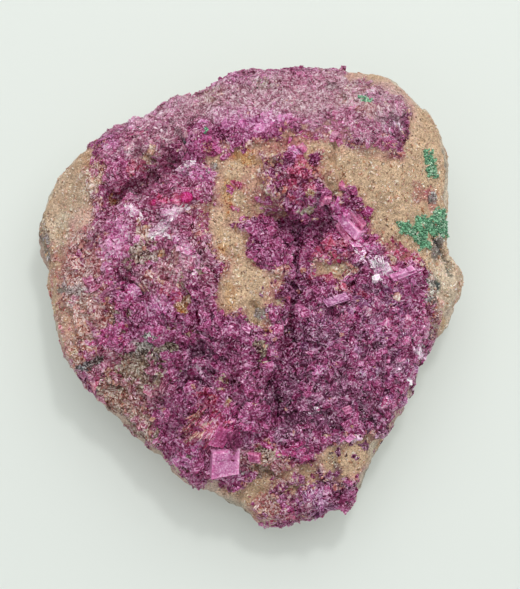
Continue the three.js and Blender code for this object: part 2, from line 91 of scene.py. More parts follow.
# Troughs and ridges of the upper side: (line, half width, height).
FOLDS = [
    ([(8, 9), (8, 5.6), (7.8, 2.4), (7.4, -1), (6.2, -6), (5.2, -10.9), (4.9, -15.9), (4.8, -20.7)],
     0.85, -1.35),  # groove
    ([(4.6, 12.0), (7.2, 12.2), (10.2, 12.3), (12.6, 11.2)], 1.2, -1.0),  # pocket
    ([(-21.2, 16.6), (-18.4, 18.1), (-15, 19.6), (-12.6, 21.2)], 1.9, -1.5),  # hollow
    ([(-18.6, 22.8), (-17.3, 23.4), (-15.6, 23)], 0.5, -1.2),
    ([(-4, 16.4), (-6.6, 13.6), (-7.1, 10.9), (-5.6, 6.1), (-4.6, -0.5)], 0.4, -0.7),
    ([(6.3, 24.9), (9, 25.3), (12, 25.4), (16, 25.2)], 0.4, -0.5),
    ([(15.8, 24), (18, 22.4), (20.2, 21.6), (22.2, 22), (23.6, 21.4), (25.6, 24.2)], 0.6, -0.8),
    ([(14.4, 23.6), (14.2, 21.2), (13.8, 19.2)], 0.45, -1.3),
    ([(15.6, 19.4), (15.2, 17.2), (16.6, 15)], 0.5, -0.8),
    ([(31.3, 9.6), (32.6, 8.2), (33.6, 6.6), (34.6, 4.8)], 0.4, -1.2),
    ([(29.6, -1.6), (31, -3.4), (32, -5.6)], 0.35, -1.0),
    ([(4.6, -29.6), (6.6, -30.6), (8.8, -31.6)], 0.3, -0.9),
    ([(2.4, -28.6), (4.4, -28.9), (6, -29.8)], 0.3, -0.8),
    ([(1.8, -3.2), (0.8, -5.2), (2.4, -7.2)], 0.35, -0.9),
    ([(-20.5, 2.4), (-18.9, 1.4), (-17.6, 0.4)], 1.2, -1.2),
    ([(-23.5, -10.4), (-19.5, -11.2), (-15.5, -12.2)], 1.4, -1.0),
    ([(-7, -30), (-4.4, -31), (-1.6, -32.6)], 0.9, -1.6),
    ([(-7.5, -6.5), (-6.6, -10)], 0.9, -1.1),
    ([(-14, 22), (-11, 23.6), (-8, 24.2)], 1.4, 0.7),
    ([(-22.5, 20.5), (-19.5, 22), (-15, 24)], 1.4, 0.6),
    ([(4.6, 8.4), (5, 3), (4.8, -2), (3.6, -8), (2.8, -13)], 1.0, 0.8),  # wall of the groove
    ([(-20, 14.2), (-16.4, 10.2), (-10, 14.4)], 1.2, 0.5),
    ([(-10.9, 8.3), (-9.6, 6), (-8.6, 3.2)], 1.2, 0.9),
]

# Where the rock shows through the crust, in plan.
BARE_PLACES = {
    "tongue": [
        (-5.8, 22.4), (-1.2, 23.6), (2.6, 22.8), (5.2, 24), (7.4, 25), (12.2, 26), (15.4, 26.6),
        (17.4, 27), (17.4, 21), (15, 21), (11.6, 21.8), (8.8, 22.2), (6.2, 20.8), (3.6, 19.4),
        (2.6, 18.2), (5.2, 16.2), (5.4, 13.8), (2.6, 12.4), (0, 11.2), (-2.4, 10.4), (-1, 8.4),
        (0.2, 6.2), (2.6, 3.8), (5.6, 3.2), (5.2, -0.8), (3.8, -2.6), (2.6, -4.6), (2.8, -8.2),
        (1.6, -7.2), (-0.4, -4.2), (-3.6, -4.2), (-4, -0.6), (-3.4, 3.2), (-5, 6.2), (-7, 8.4),
        (-6.6, 12.2), (-5, 15.2), (-4.4, 18.2),
    ],
    "plateau": [
        (13.2, 23.6), (17.4, 23.8), (20.6, 23), (24, 21.8), (25.6, 23), (27, 26.6), (27.4, 30),
        (25.4, 33.2), (21.6, 35.4), (17.6, 36.6), (16.8, 46), (40, 46), (42, 20), (42, -7), (32, -7.6),
        (31.8, -2.2), (29.8, 2.8), (29.2, 6.2), (25.8, 7), (23.8, 6.8), (21.8, 6.8), (20.6, 8.4),
        (19.6, 10.4), (18, 12.8), (16.2, 15), (14.2, 16), (12.4, 17.4), (11.4, 19.6), (11.4, 22),
    ],
    "front band": [
        (26, -23), (21.5, -22.8), (16.2, -23.6), (13.4, -25.4), (11.2, -26.8), (9.4, -27.8),
        (8.6, -29.2), (7.2, -27.8), (5.4, -28.4), (3.6, -26.4), (2, -28.2), (1, -29.8), (-0.6, -30.8),
        (-3.4, -31.2), (-6, -33), (-5, -46), (0, -46), (0.8, -36.4), (2, -34.4), (3.6, -32.6),
        (5.7, -32.2), (7.6, -32.8), (9.6, -31.4), (11.4, -30.4), (12, -29.2), (12.8, -28.8),
        (14.4, -28.8), (15.8, -30.4), (17.6, -30.6), (19, -29), (21, -28), (26, -30),
    ],
    "left flank": [
        (-25.6, 27), (-26.4, 23.4), (-26.8, 19.2), (-26, 15), (-27.6, 11.2), (-29.2, 6.6),
        (-30.4, 1.8), (-29.6, -5), (-30.8, -12.2), (-44, -14), (-44, 30), (-32, 34),
    ],
    "bowl spot": [
        (11, 5), (12.4, 5.8), (14.6, 5.2), (17, 3.8), (16.6, 2.4), (14.6, 2.6), (11.6, 3.6),
    ],
}
BORDER = 1.9  # the width in which the crust pales towards a bare place, and the rock turns rosy

# Single lumps and pits: (x, y, half length, half width, turn in degrees, height).
SINGLES = [
    (14.0, 18.2, 2.2, 0.9, -74, 1.8),  # long knob on the ledge
    (10.4, 15.4, 1.2, 1.1, 0, 1.5),
    (9.4, 13.0, 1.4, 1.0, 20, 1.4),
    (8.4, 22.0, 1.1, 1.0, 0, 0.9),
    (1.3, -3.0, 1.2, 0.7, -30, -1.6),  # pit at the tongue's foot
    (-10.6, 25.2, 0.6, 0.5, 0, -1.4),
    (2.2, 20.5, 0.9, 0.5, 10, -0.9),
    (-12.3, 6.0, 1.6, 0.4, 55, -1.1),
    (24.6, 13.6, 2.2, 0.4, 25, -0.5),
]

# Where a veil of fine dust dulls the druse: (dust, x, y, half length, half width, turn in
# degrees, strength). The dust's colours are sRGB, 0 to 255.
DUST = {"mauve": (206, 170, 178), "clay": (186, 146, 124), "rose": (216, 146, 164),
        "chalk": (228, 204, 182)}
DUSTY_PLACES = [
    ("rose", -16, 13, 12, 13, 0, 0.15), ("mauve", 1, 33.5, 24, 5.5, 3, 0.42),
    ("mauve", 16, 28, 9, 6, -15, 0.25), ("mauve", -16, 27, 9, 4, 22, 0.2),
    ("mauve", 22, 33, 8, 5, -30, 0.35), ("chalk", -30, 16, 5, 9, -10, 0.4),
    ("chalk", -30, -2, 4, 10, 4, 0.25), ("rose", -27, 3, 4, 14, 4, 0.2), ("chalk", 34, 2, 3.4, 9, 0, 0.5),
    ("clay", -19.6, -13.4, 7, 4.5, -35, 0.3), ("clay", -20.6, -19.4, 7, 4.4, -42, 0.35),
    ("clay", -12, 3.4, 5, 3.2, 20, 0.3), ("clay", 3, -27.6, 5, 2.2, -10, 0.35),
    ("clay", -6.8, 5.6, 3, 8, 4, 0.12),
]

# ---- mineral kinds ----
# colours: sRGB, 0 to 255. edge: a crystal's usual edge. share: how many places grow one.
# gloss: 0 dull to 1 glassy. order: how far neighbouring crystals line up.
KINDS = {
    "druse": dict(colours=[(116, 36, 78), (142, 55, 102), (170, 84, 130)],
                  edge=0.44, share=1.0, gloss=0.75, order=0.85),
    "purple": dict(colours=[(88, 32, 64), (108, 48, 82), (134, 72, 106)],
                   edge=0.42, share=1.0, gloss=0.8, order=0.8),
    # deep: dark wine crystals; its patches in troughs and pits are also painted shade
    "deep": dict(colours=[(84, 14, 52), (106, 24, 70), (126, 40, 86)],
                 edge=0.42, share=1.0, gloss=0.7, order=0.75),
    "magenta": dict(colours=[(140, 38, 94), (166, 62, 118), (190, 94, 144)],
                    edge=0.44, share=1.0, gloss=0.7, order=0.85),
    "ruby": dict(colours=[(164, 34, 86), (182, 50, 104), (204, 92, 134)],
                 edge=0.44, share=1.0, gloss=0.7, order=0.9),
    "raspberry": dict(colours=[(144, 38, 76), (170, 62, 98), (194, 100, 124)],
                      edge=0.42, share=1.0, gloss=0.6, order=0.8),
    "pink": dict(colours=[(156, 62, 112), (176, 86, 132), (200, 124, 158)],
                 edge=0.44, share=1.0, gloss=0.7, order=0.85),
    "lilac": dict(colours=[(176, 92, 144), (192, 114, 164), (212, 148, 188)],
                  edge=0.46, share=1.0, gloss=0.6, order=0.9),
    "plum": dict(colours=[(134, 72, 116), (156, 94, 138), (180, 122, 160)],
                 edge=0.44, share=1.0, gloss=0.6, order=0.9),
    "glow": dict(colours=[(188, 84, 148), (204, 112, 168), (222, 150, 194)],
                 edge=0.46, share=1.0, gloss=0.6, order=0.95),
    # painted_glint: near-white crystals, a painted highlight for light flashing off parallel facets
    "painted_glint": dict(colours=[(190, 126, 168), (228, 190, 216), (255, 246, 253)],
                  edge=0.34, share=1.0, gloss=1.0, order=0.97),
    "mauve": dict(colours=[(150, 82, 112), (176, 114, 138), (202, 154, 164)],
                  edge=0.34, share=1.0, gloss=0.35, order=0.6),
    "salmon": dict(colours=[(170, 100, 100), (194, 138, 126), (216, 176, 154)],
                   edge=0.26, share=0.9, gloss=0.3, order=0.5),
    "olive": dict(colours=[(96, 78, 66), (132, 114, 94), (168, 152, 128)],
                  edge=0.32, share=0.9, gloss=0.25, order=0.4),
    "tan": dict(colours=[(184, 144, 116), (204, 170, 140), (220, 192, 160)],
                edge=0.24, share=0.45, gloss=0.15, order=0.2),
    "cream": dict(colours=[(212, 192, 168), (226, 208, 184)],
                  edge=0.24, share=0.4, gloss=0.15, order=0.2),
    "ochre": dict(colours=[(200, 150, 96), (184, 134, 84)],
                  edge=0.26, share=0.7, gloss=0.15, order=0.2),
    "grey": dict(colours=[(104, 98, 96), (134, 128, 122), (162, 156, 148)],
                 edge=0.28, share=0.8, gloss=0.25, order=0.3),
    "teal": dict(colours=[(54, 64, 66), (80, 92, 90), (112, 122, 118)],
                 edge=0.26, share=0.6, gloss=0.3, order=0.3),
    "green": dict(colours=[(64, 134, 94), (88, 156, 112)],
                  edge=0.26, share=0.3, gloss=0.15, order=0.2),
}
KIND_NAMES = list(KINDS)

# Patches of a kind, laid over each other in this order:
# (kind, x, y, half length, half width, turn in degrees, strength).
# The painted_glint patches are painted highlights where light flashes off facets.
PATCHES = [
    # under the whole bowl
    ("purple", 15.5, -11, 10.5, 13, -12, 0.6),
    # the back ridge and the corner at its right end
    ("mauve", -2.8, 33.3, 7.9, 4.3, 15, 0.9), ("lilac", -0.6, 37.3, 4.4, 1.5, -5, 0.75),
    ("tan", -6.6, 34.4, 2.2, 1.6, 30, 0.5), ("lilac", 2.6, 30.0, 4.4, 1.8, 0, 0.7),
    ("glow", -3.9, 29.7, 1.9, 0.8, -15, 0.7), ("olive", 8.6, 31.0, 2.8, 1.4, 0, 0.7),
    ("olive", 3.0, 35.4, 2.6, 1.5, 0, 0.7), ("mauve", 7.5, 32.1, 6.6, 3.6, 0, 0.85),
    ("magenta", 10.0, 36.6, 4.4, 1.8, 0, 0.85), ("grey", 14.4, 35.2, 1.4, 1.0, 30, 0.6),
    ("salmon", 20.2, 30.4, 2.4, 1.9, 0, 0.75), ("lilac", 20.6, 33.6, 2.6, 1.0, 0, 0.8),
    ("magenta", 15.6, 30.2, 3.4, 1.5, 20, 0.8), ("tan", 17.6, 33.3, 3.0, 2.0, 35, 0.5),
    ("purple", 23.8, 28.2, 2.2, 1.4, 0, 0.8), ("deep", 25.0, 25.9, 1.7, 1.0, 0, 0.8),
    ("magenta", 23.0, 24.2, 1.7, 1.2, 0, 0.9), ("painted_glint", 25.0, 27.3, 0.8, 0.8, 0, 0.7),
    ("painted_glint", 23.0, 26.4, 0.8, 0.5, 0, 0.7),
    # in front of the back ridge, and to its left
    ("magenta", 13.3, 25.5, 6.9, 1.3, 8, 0.9), ("lilac", -0.3, 28.6, 7.3, 2.0, -5, 0.85),
    ("magenta", -5.7, 23.5, 4.3, 1.2, -25, 0.8), ("lilac", -16.4, 30.7, 6.3, 2.1, 25, 0.75),
    ("salmon", 8.6, 24.2, 6.6, 1.4, 8, 0.6), ("tan", 13.6, 20.0, 1.2, 3.4, 0, 0.5),
    ("mauve", -16.1, 24.9, 6.6, 3.6, 20, 0.75), ("tan", -16.0, 22.5, 1.2, 1.3, 0, 0.8),
    ("salmon", -25.0, 21.0, 2.6, 2.4, 35, 0.6),
    # the left half
    # the deep patches along the hollow are painted shade
    ("deep", -15.6, 19.8, 4.4, 1.2, 27, 0.55), ("deep", -18.6, 18.2, 1.9, 1.1, 20, 0.4),
    ("lilac", -8.9, 19.2, 3.2, 2.0, -20, 0.7), ("grey", -5.4, 19.9, 1.6, 1.1, -10, 0.6),
    ("magenta", -9.8, 15.4, 4.6, 1.7, 5, 0.6), ("painted_glint", -9.4, 20.8, 1.6, 0.8, -20, 0.5),
    ("painted_glint", -7.2, 18.3, 0.9, 0.5, 20, 0.45), ("salmon", -24.8, 15.6, 1.8, 2.2, 0, 0.5),
    ("ochre", -22.4, 17.2, 1.3, 1.2, 0, 0.5), ("salmon", -8.1, 13.2, 1.5, 1.2, 0, 0.7),
    ("painted_glint", -18.6, 13.2, 2.3, 1.1, -42, 0.8), ("painted_glint", -12.9, 11.6, 4.0, 1.2, 41, 0.85),
    ("tan", -17.3, 9.8, 1.5, 2.4, -15, 0.7), ("olive", -17.0, 6.2, 3.2, 1.9, 10, 0.8),
    ("ochre", -13.4, 6.5, 1.0, 0.9, 0, 0.8), ("lilac", -9.4, 5.1, 2.8, 1.6, -62, 0.9),
    ("lilac", -21.9, 9.0, 4.3, 2.9, 72, 0.85), ("magenta", -25.1, 10.1, 1.0, 1.8, -20, 0.6),
    ("magenta", -20.9, 1.0, 2.2, 3.6, 10, 0.65), ("raspberry", -12.2, -0.4, 2.6, 1.7, 0, 0.5),
    ("deep", -19.4, 1.9, 1.2, 1.8, 20, 0.6), ("salmon", -15.9, 1.7, 2.3, 1.5, 0, 0.55),
    ("olive", -9.2, 1.7, 2.3, 1.7, 0, 0.35), ("lilac", -14.4, -2.6, 3.0, 2.2, -20, 0.4),
    ("raspberry", -22.0, 18.6, 0.9, 0.8, 0, 0.6), ("ruby", -13.6, 14.9, 3.0, 1.2, 5, 0.85),
    # the deep patches at (-20.4, 1.3), (-12.3, 5.0), (-6.4, 5.4) and (-19.4, 1.9) lie in troughs and a pit:
    # painted shade
    ("deep", -25.0, 9.5, 1.5, 1.7, -20, 0.7), ("deep", -20.4, 1.3, 1.6, 2.4, 0, 0.7),
    ("deep", -12.3, 5.0, 1.3, 1.5, 40, 0.7), ("deep", -6.4, 5.4, 1.3, 1.8, 0, 0.7),
    ("raspberry", -19.0, 21.2, 1.4, 1.2, 0, 0.7), ("magenta", -7.4, 10.6, 1.4, 1.6, 0, 0.6),
    ("magenta", -6.3, -3.3, 3.0, 3.0, 0, 0.5),
    # the left edge
    ("tan", -29.6, 18.6, 4.0, 7.3, -20, 0.9), ("cream", -31.3, 12.5, 2.0, 2.6, -10, 0.8),
    ("salmon", -28.7, 6.2, 4.3, 5.6, -10, 0.8), ("salmon", -27.2, -4.4, 5.6, 6.6, 0, 0.85),
    ("ochre", -31.7, 11.9, 1.0, 0.8, 0, 0.4), ("teal", -29.2, 1.6, 2.5, 1.0, -18, 0.95),
    ("grey", -29.3, -1.1, 1.5, 1.0, 0, 0.6), ("teal", -25.5, -10.6, 2.5, 0.8, 22, 0.95),
    ("teal", -24.9, -14.7, 1.3, 0.8, -40, 0.9), ("grey", -34.8, 12.0, 1.0, 5.0, 8, 0.6),
    ("raspberry", -30.3, -6.7, 1.3, 2.6, 10, 0.5), ("raspberry", -25.9, -13.4, 1.7, 1.3, 40, 0.4),
    ("salmon", -22.6, -19.9, 2.3, 2.3, -45, 0.55),
    # the lower left, down to the front point
    ("magenta", -22.3, -6.7, 3.0, 1.7, 20, 0.7), ("olive", -20.2, -3.7, 2.1, 1.8, 40, 0.7),
    ("lilac", -19.6, -0.6, 1.2, 1.7, -20, 0.5), ("olive", -17.6, -11.4, 6.0, 2.5, 18, 0.9),
    ("grey", -16.4, -8.2, 2.8, 1.5, 35, 1.0), ("olive", -22.0, -17.2, 2.2, 3.6, 32, 0.7),
    ("tan", -28.3, -4.7, 2.6, 4.6, 4, 0.55), ("grey", -18.6, -21.2, 2.6, 1.0, -45, 0.5),
    ("olive", -23.8, -13.6, 2.4, 1.6, 15, 0.6), ("salmon", -20.4, -16.4, 6.6, 3.4, -42, 0.5),
    ("olive", -17.4, -21.4, 4.6, 1.5, -42, 0.55), ("olive", -16.6, -13.6, 5.6, 2.4, -10, 0.45),
    ("tan", -10.1, -2.6, 1.4, 1.6, -10, 0.85), ("ochre", -10.5, -3.1, 0.8, 1.0, 0, 0.6),
    ("tan", -8.7, -7.0, 1.2, 0.8, 0, 0.85), ("tan", -12.5, -6.2, 1.0, 0.8, 0, 0.5),
    ("purple", -6.8, -9.1, 3.0, 3.6, -10, 0.6), ("purple", -8.3, -13.6, 4.0, 2.3, 20, 0.5),
    ("tan", -4.0, -14.7, 1.0, 1.5, -20, 0.75), ("raspberry", -6.3, -17.9, 3.3, 1.5, -20, 0.8),
    ("ochre", -3.4, -18.4, 1.2, 0.8, 40, 0.5), ("magenta", -3.0, -21.7, 2.6, 2.3, -30, 0.8),
    ("raspberry", -6.7, -22.0, 2.6, 1.7, -30, 0.7), ("lilac", -7.2, -24.8, 1.7, 1.0, 0, 0.8),
    ("salmon", -15.8, -22.7, 1.7, 1.3, -40, 0.5), ("olive", -10.0, -27.2, 1.5, 1.2, 0, 0.5),
    ("lilac", -1.8, -29.9, 1.5, 1.3, -60, 0.5),
    # the middle
    ("raspberry", 9.0, 17.5, 3.3, 2.8, 0, 0.85), ("salmon", 11.7, 18.8, 2.3, 1.7, 0, 0.35),
    ("mauve", 5.1, 17.3, 1.7, 2.0, 0, 0.4), ("lilac", 8.2, 21.9, 1.2, 1.0, 0, 0.85),
    # the deep patches in the pocket and along the groove are painted shade
    ("pink", 4.2, 14.2, 2.4, 2.6, 0, 0.5), ("deep", 8.8, 10.6, 1.3, 2.4, 10, 0.7),
    ("deep", 8.1, 5.4, 0.6, 5.6, -2, 0.6), ("raspberry", 7.2, -3.4, 0.5, 5.6, 14, 0.4),
    ("deep", 4.8, -17.6, 1.7, 3.6, -4, 0.7), ("purple", 12.1, 14.5, 1.4, 1.3, 0, 0.5),
    ("tan", 10.4, 15.2, 1.1, 0.9, 0, 0.9), ("cream", 9.6, 12.7, 1.3, 0.8, 20, 0.9),
    ("salmon", 1.0, 16.6, 2.6, 4.2, 0, 0.5), ("raspberry", -1.4, 16.8, 0.9, 0.8, 0, 0.8),
    ("raspberry", -1.2, 13.0, 0.8, 0.8, 0, 0.9),
    # the bowl
    ("glow", 17.3, 10.1, 1.5, 3.6, 32, 1.0), ("magenta", 19.6, 10.3, 1.7, 2.3, 20, 0.7),
    ("raspberry", 13.7, 6.7, 4.0, 2.0, -10, 0.6), ("glow", 20.6, 6.9, 1.0, 0.8, 40, 0.6),
    ("painted_glint", 22.3, 3.5, 1.9, 1.5, -35, 0.85), ("painted_glint", 19.0, 5.4, 1.5, 1.0, -35, 0.3),
    ("lilac", 25.2, 2.4, 2.6, 1.0, 0, 0.6), ("raspberry", 25.3, 6.1, 3.3, 1.7, -15, 0.6),
    ("raspberry", 15.0, 1.2, 4.6, 1.2, -15, 0.6), ("purple", 12.0, -6.4, 5.0, 3.3, 0, 0.65),
    ("painted_glint", 15.5, -1.4, 1.3, 0.8, 8, 0.6), ("pink", 22.8, -4.4, 6.9, 5.6, 0, 0.35),
    ("plum", 21.0, -7.4, 7.9, 6.6, 20, 0.2), ("druse", 17.0, -9.4, 6.0, 7.0, 20, 0.5),
    ("pink", 30.3, -4.0, 2.4, 4.6, 8, 0.8),
    # the bowl's foot and the front
    ("purple", 9.6, -17.3, 5.6, 4.3, 0, 0.75), ("purple", 13.7, -20.7, 3.3, 2.3, 0, 0.6),
    ("painted_glint", 28.5, -8.7, 1.3, 1.0, 0, 0.8), ("painted_glint", 25.1, -11.6, 1.3, 0.8, 0, 0.4),
    ("painted_glint", 17.4, -23.3, 1.0, 0.8, 0, 0.8), ("pink", 23.8, -17.0, 2.6, 2.6, 35, 0.3),
    ("plum", 23.4, -15.0, 3.6, 4.6, -30, 0.25), ("painted_glint", 10.9, -20.1, 1.5, 1.3, 0, 0.45),
    ("lilac", 1.7, -22.6, 1.3, 1.6, 0, 0.5), ("magenta", 7.1, -25.6, 4.0, 2.0, -10, 0.6),
    ("salmon", 3.5, -24.7, 1.5, 1.3, 0, 0.6), ("olive", 2.5, -26.4, 1.6, 1.0, 0, 0.7),
    ("olive", 14.0, -26.6, 2.6, 1.2, 20, 0.35), ("olive", 3.0, -29.0, 2.2, 1.0, -20, 0.5),
    ("green", 0.2, -29.0, 1.1, 0.7, 0, 0.5),
    # the toe
    ("purple", 13.9, -30.5, 2.6, 1.8, 30, 0.7), ("plum", 11.4, -33.6, 3.0, 2.0, -10, 0.6),
    ("mauve", 6.8, -34.8, 4.6, 2.2, -10, 0.7), ("salmon", 3.5, -34.3, 2.6, 1.7, -20, 0.8),
    ("raspberry", 6.2, -35.8, 1.7, 0.7, 0, 0.6),
    # the right rim, and two marks elsewhere
    ("salmon", 29.6, 16.7, 2.6, 2.0, -20, 0.75), ("raspberry", 30.4, 16.8, 1.3, 1.0, 0, 0.5),
    ("grey", 31.1, 16.2, 0.7, 0.7, 0, 0.8), ("cream", 33.0, 1.4, 2.0, 4.3, 0, 0.7),
    ("grey", 31.0, 1.0, 1.3, 3.0, 10, 0.9), ("teal", 31.5, 1.9, 1.2, 0.9, 0, 1.0),
    ("cream", 33.2, 5.0, 2.0, 2.6, 0, 0.8), ("grey", 31.8, 8.2, 2.0, 1.0, 70, 0.8),
    ("teal", 32.4, 8.0, 0.6, 1.3, 20, 0.7), ("cream", 15.4, 3.9, 2.4, 1.2, -18, 0.6),
    ("grey", 30.2, -7.0, 1.0, 3.3, -30, 0.4), ("teal", -10.3, 24.4, 0.7, 0.5, 0, 1.0),
    ("cream", 34.4, -0.1, 1.0, 3.3, 0, 0.5), ("salmon", 34.8, -5.1, 0.8, 2.6, -20, 0.4),
    # along the bare tongue
    ("ochre", -0.1, 21.5, 2.3, 1.2, -15, 0.85), ("ochre", -3.4, 14.9, 0.8, 3.6, -6, 0.6),
    ("ochre", -4.0, 6.0, 0.8, 4.3, 4, 0.6), ("ochre", -2.7, -1.7, 1.0, 2.3, 0, 0.5),
    ("grey", 2.5, -4.2, 1.5, 1.2, 0, 0.75), ("salmon", 3.5, -1.2, 1.2, 1.0, 0, 0.3),
    ("olive", 1.6, -8.7, 1.0, 3.3, 20, 0.5), ("salmon", 4.9, 0.2, 0.9, 3.0, -4, 0.4),
    ("pink", 4.8, -5.6, 0.9, 3.0, 8, 0.6),
    # single marks over the others
    ("purple", 6.8, -22.9, 3.6, 1.3, 0, 0.8), ("lilac", 11.7, -12.8, 1.3, 1.1, 0, 0.7),
    ("painted_glint", 27.0, -13.4, 0.9, 1.1, 0, 0.6), ("lilac", -9.4, -26.3, 2.3, 1.7, 0, 0.7),
    ("lilac", -24.4, 26.9, 1.5, 2.8, 30, 0.6),
]
RIM_SMEARS = [  # on the bare right rim
    ("cream", 33.2, 3.4, 1.6, 2.6, 0, 0.5), ("grey", 30.9, -0.6, 1.0, 2.4, 15, 0.75),
    ("grey", 29.9, 2.0, 1.5, 0.6, 0, 0.6), ("teal", 31.7, 1.8, 0.9, 0.9, 0, 0.95),
    ("grey", 32.0, 8.0, 2.0, 0.9, 70, 0.7), ("teal", 33.6, 5.4, 0.4, 1.6, 28, 0.7),
    ("ochre", 33.2, -3.6, 0.5, 1.1, 0, 0.5),
]
SOFT_EDGE = (1.25, 0.7)  # a patch fades in between these distances, 1 being its ellipse's edge
CLUMP = {"length": 0.9, "height": 0.62}  # of one kind among another
CLUMP_SEED = 200  # plus the kind's place in KINDS
BORDER_SEED = 190  # of the crumbling border between the crust and the bare rock
TOE = [(1.6, -36), (3.6, -32.2), (9.6, -30.8), (11.6, -27.8), (15.4, -28.4), (18, -31), (24, -34),
       (20, -46), (0, -46)]  # the nub beyond the bare band at the front
TO_THE_GLINT = (0.1, 0.12, 0.99)  # faces turned this way flash

# ---- crystals ----
C_AXIS_TO_EDGE = math.radians(63.8)  # of the cleavage rhombohedron of dolomite
BLOCKS = {"large": (3.4, 0.36), "small": (1.5, 0.2)}  # grown in parallel: size and slope
# The crystals' classes: number, edges against their kind's usual edge, their three edges against
# each other, how far neighbours lean together, the share of the height that stands clear of the
# bed, how much fine grain shows, and how far colours vary from one crystal to the next.
CLASSES = {
    "fine": dict(number=38000, size=0.8, spread=0.3, shape=(1.4, 0.95, 0.65), lean=0.35, clear=0.14,
                 crisp=1.0, variety=0.7),
    "plain": dict(number=13000, size=1.25, spread=0.35, shape=(1.5, 1.05, 0.6), lean=0.5, clear=0.2,
                  crisp=0.7, variety=0.4),
    "stepped": dict(number=600, size=2.0, spread=0.3, shape=(1.3, 1.0, 0.6), lean=0.25, clear=0.1,
                    crisp=0.7, variety=0.4),
}

# Fans of thin parallel blades: (kind, x, y, half length, half width, turn of the place, number,
# direction of the blades in plan, length). Angles are in degrees.
BLADE_FANS = [
    ("raspberry", -6.6, -21.9, 3.4, 2.8, 40, 190, 50, 2.4),
    ("salmon", -8.0, -21.6, 2.6, 1.8, 40, 90, 50, 2.6), ("pink", -5.2, -23.0, 2.0, 1.6, 40, 70, 52, 2.2),
    ("pink", -4.6, -20.6, 2.4, 1.8, 40, 70, 58, 2.4), ("lilac", -9.3, 5.1, 2.8, 1.5, -62, 120, -62, 1.1),
    ("lilac", -8.9, 19.2, 3.0, 1.6, -20, 90, -30, 1.0),
    # The painted_glint fans are painted highlights: pale blades where light flashes.
    ("painted_glint", -12.9, 11.6, 3.9, 0.8, 41, 260, 50, 0.9), ("painted_glint", -14.6, 10.2, 2.0, 1.0, 41, 50, 46, 0.8),
    ("painted_glint", -18.6, 13.3, 2.0, 0.7, -42, 110, -45, 0.8),
    ("painted_glint", -9.4, 20.9, 1.4, 0.6, -20, 36, 10, 0.7), ("painted_glint", 22.4, 3.5, 2.1, 1.3, -35, 200, -60, 0.9),
    ("painted_glint", 19.2, 5.6, 1.6, 0.8, -35, 30, -35, 0.8), ("lilac", 25.6, 2.8, 2.6, 0.9, 12, 60, 14, 1.6),
    ("lilac", -21.9, 9.0, 4.1, 2.5, 72, 180, 60, 1.1), ("glow", 17.3, 10.6, 1.0, 3.0, 36, 70, -54, 1.8),
    ("plum", 24, -4, 5, 5, 0, 130, 30, 0.8), ("plum", 12, -6.4, 4.4, 3.0, 0, 110, 60, 0.8),
    ("magenta", -22, -7, 3.4, 2.0, 20, 90, 24, 1.0), ("lilac", -14.6, -2.4, 2.8, 2.0, -20, 90, -55, 1.2),
    ("purple", -7.0, -10.4, 3, 4, -10, 110, -50, 0.8), ("pink", -21.4, 25.4, 5.6, 2.0, 30, 110, 30, 1.0),
]

# The crystals that stand out: (kind, x, y, edges, turn of the longest edge in plan, lean of the
# broad face, azimuth it leans to). Angles are in degrees.
NAMED_CRYSTALS = [
    ("lilac", -3.8, -27.2, (4.4, 4.6, 3.4), 78, 19, 262),
    ("magenta", -4.2, -23.2, (3.6, 2.6, 1.6), 50, 28, 240),
    ("deep", -2.0, -24.0, (2.8, 2.0, 1.4), -62, 46, 335),
    ("lilac", 17.0, 10.9, (5.6, 1.5, 1.4), -55, 24, 215),
    ("pink", 18.0, 11.6, (4.0, 1.2, 1.3), -60, 40, 30),
    ("pink", 16.2, 9.6, (3.6, 1.1, 1.0), -66, 34, 200),
    ("lilac", 25.8, 3.0, (4.2, 1.4, 1.0), 14, 16, 100),
    ("plum", 14.8, -1.5, (4.0, 1.5, 0.9), 10, 14, 100),
    ("lilac", 17.1, -23.4, (1.6, 1.0, 0.8), 30, 14, 95),
    ("pink", 16.6, -19.0, (1.5, 1.3, 0.9), 20, 24, 60),
    ("pink", 1.4, -26.8, (1.9, 1.6, 0.9), -20, 26, 250),
    ("pink", 9.0, 22.9, (1.4, 1.3, 1.1), 20, 20, 250),
    ("pink", 15.5, 16.8, (1.6, 1.3, 1.0), 30, 40, 250),
    ("pink", 13.0, 14.6, (1.5, 1.3, 1.0), 60, 40, 260),
]
CLEAR_OF_THE_BED = 0.9  # the most that one of them stands up
GLINT_SHARE = 0.55  # of the painted glint's crystals, those that are also turned to the glint
GLINT_SHARE_OF_BLADES = 0.75
STEPPED = {"steps": 2, "inset": 0.12, "rise": 0.06}  # a small crystal's growth steps, in edges
CLEAVED = {"steps": 3, "rise": (0.12, 0.3), "worn edge": 0.05}  # a large crystal's, in millimetres
ABOVE = 60  # a height above the whole specimen
CORNER_UP_SHARE = 0.25  # of the blocks, those whose crystals stand on a corner
RIM_OF_GROWTH = (0.25, 0.7)  # crystals thin out where the upper side turns down
BLADE = {"width": 0.2, "thickness": 0.3, "sunk": 0.06}
SEEDS = {  # of the blocks of crystals
    "warp": 101, "cell": 110, "tilt": 120, "spin": 130, "corner up": 131, "lean": 132, "height": 135,
}
WALL_SEEDS = {"cell": 31, "tilt": 60}  # of the steps of the walls
GLASSY_BALLS = [(-9.9, 14.9, 1.2), (-15.2, 14.8, 0.7), (-12.1, 14.9, 0.6)]  # x, y, radius
RUBY = (184, 36, 110)  # the balls' colour, sRGB, 0 to 255

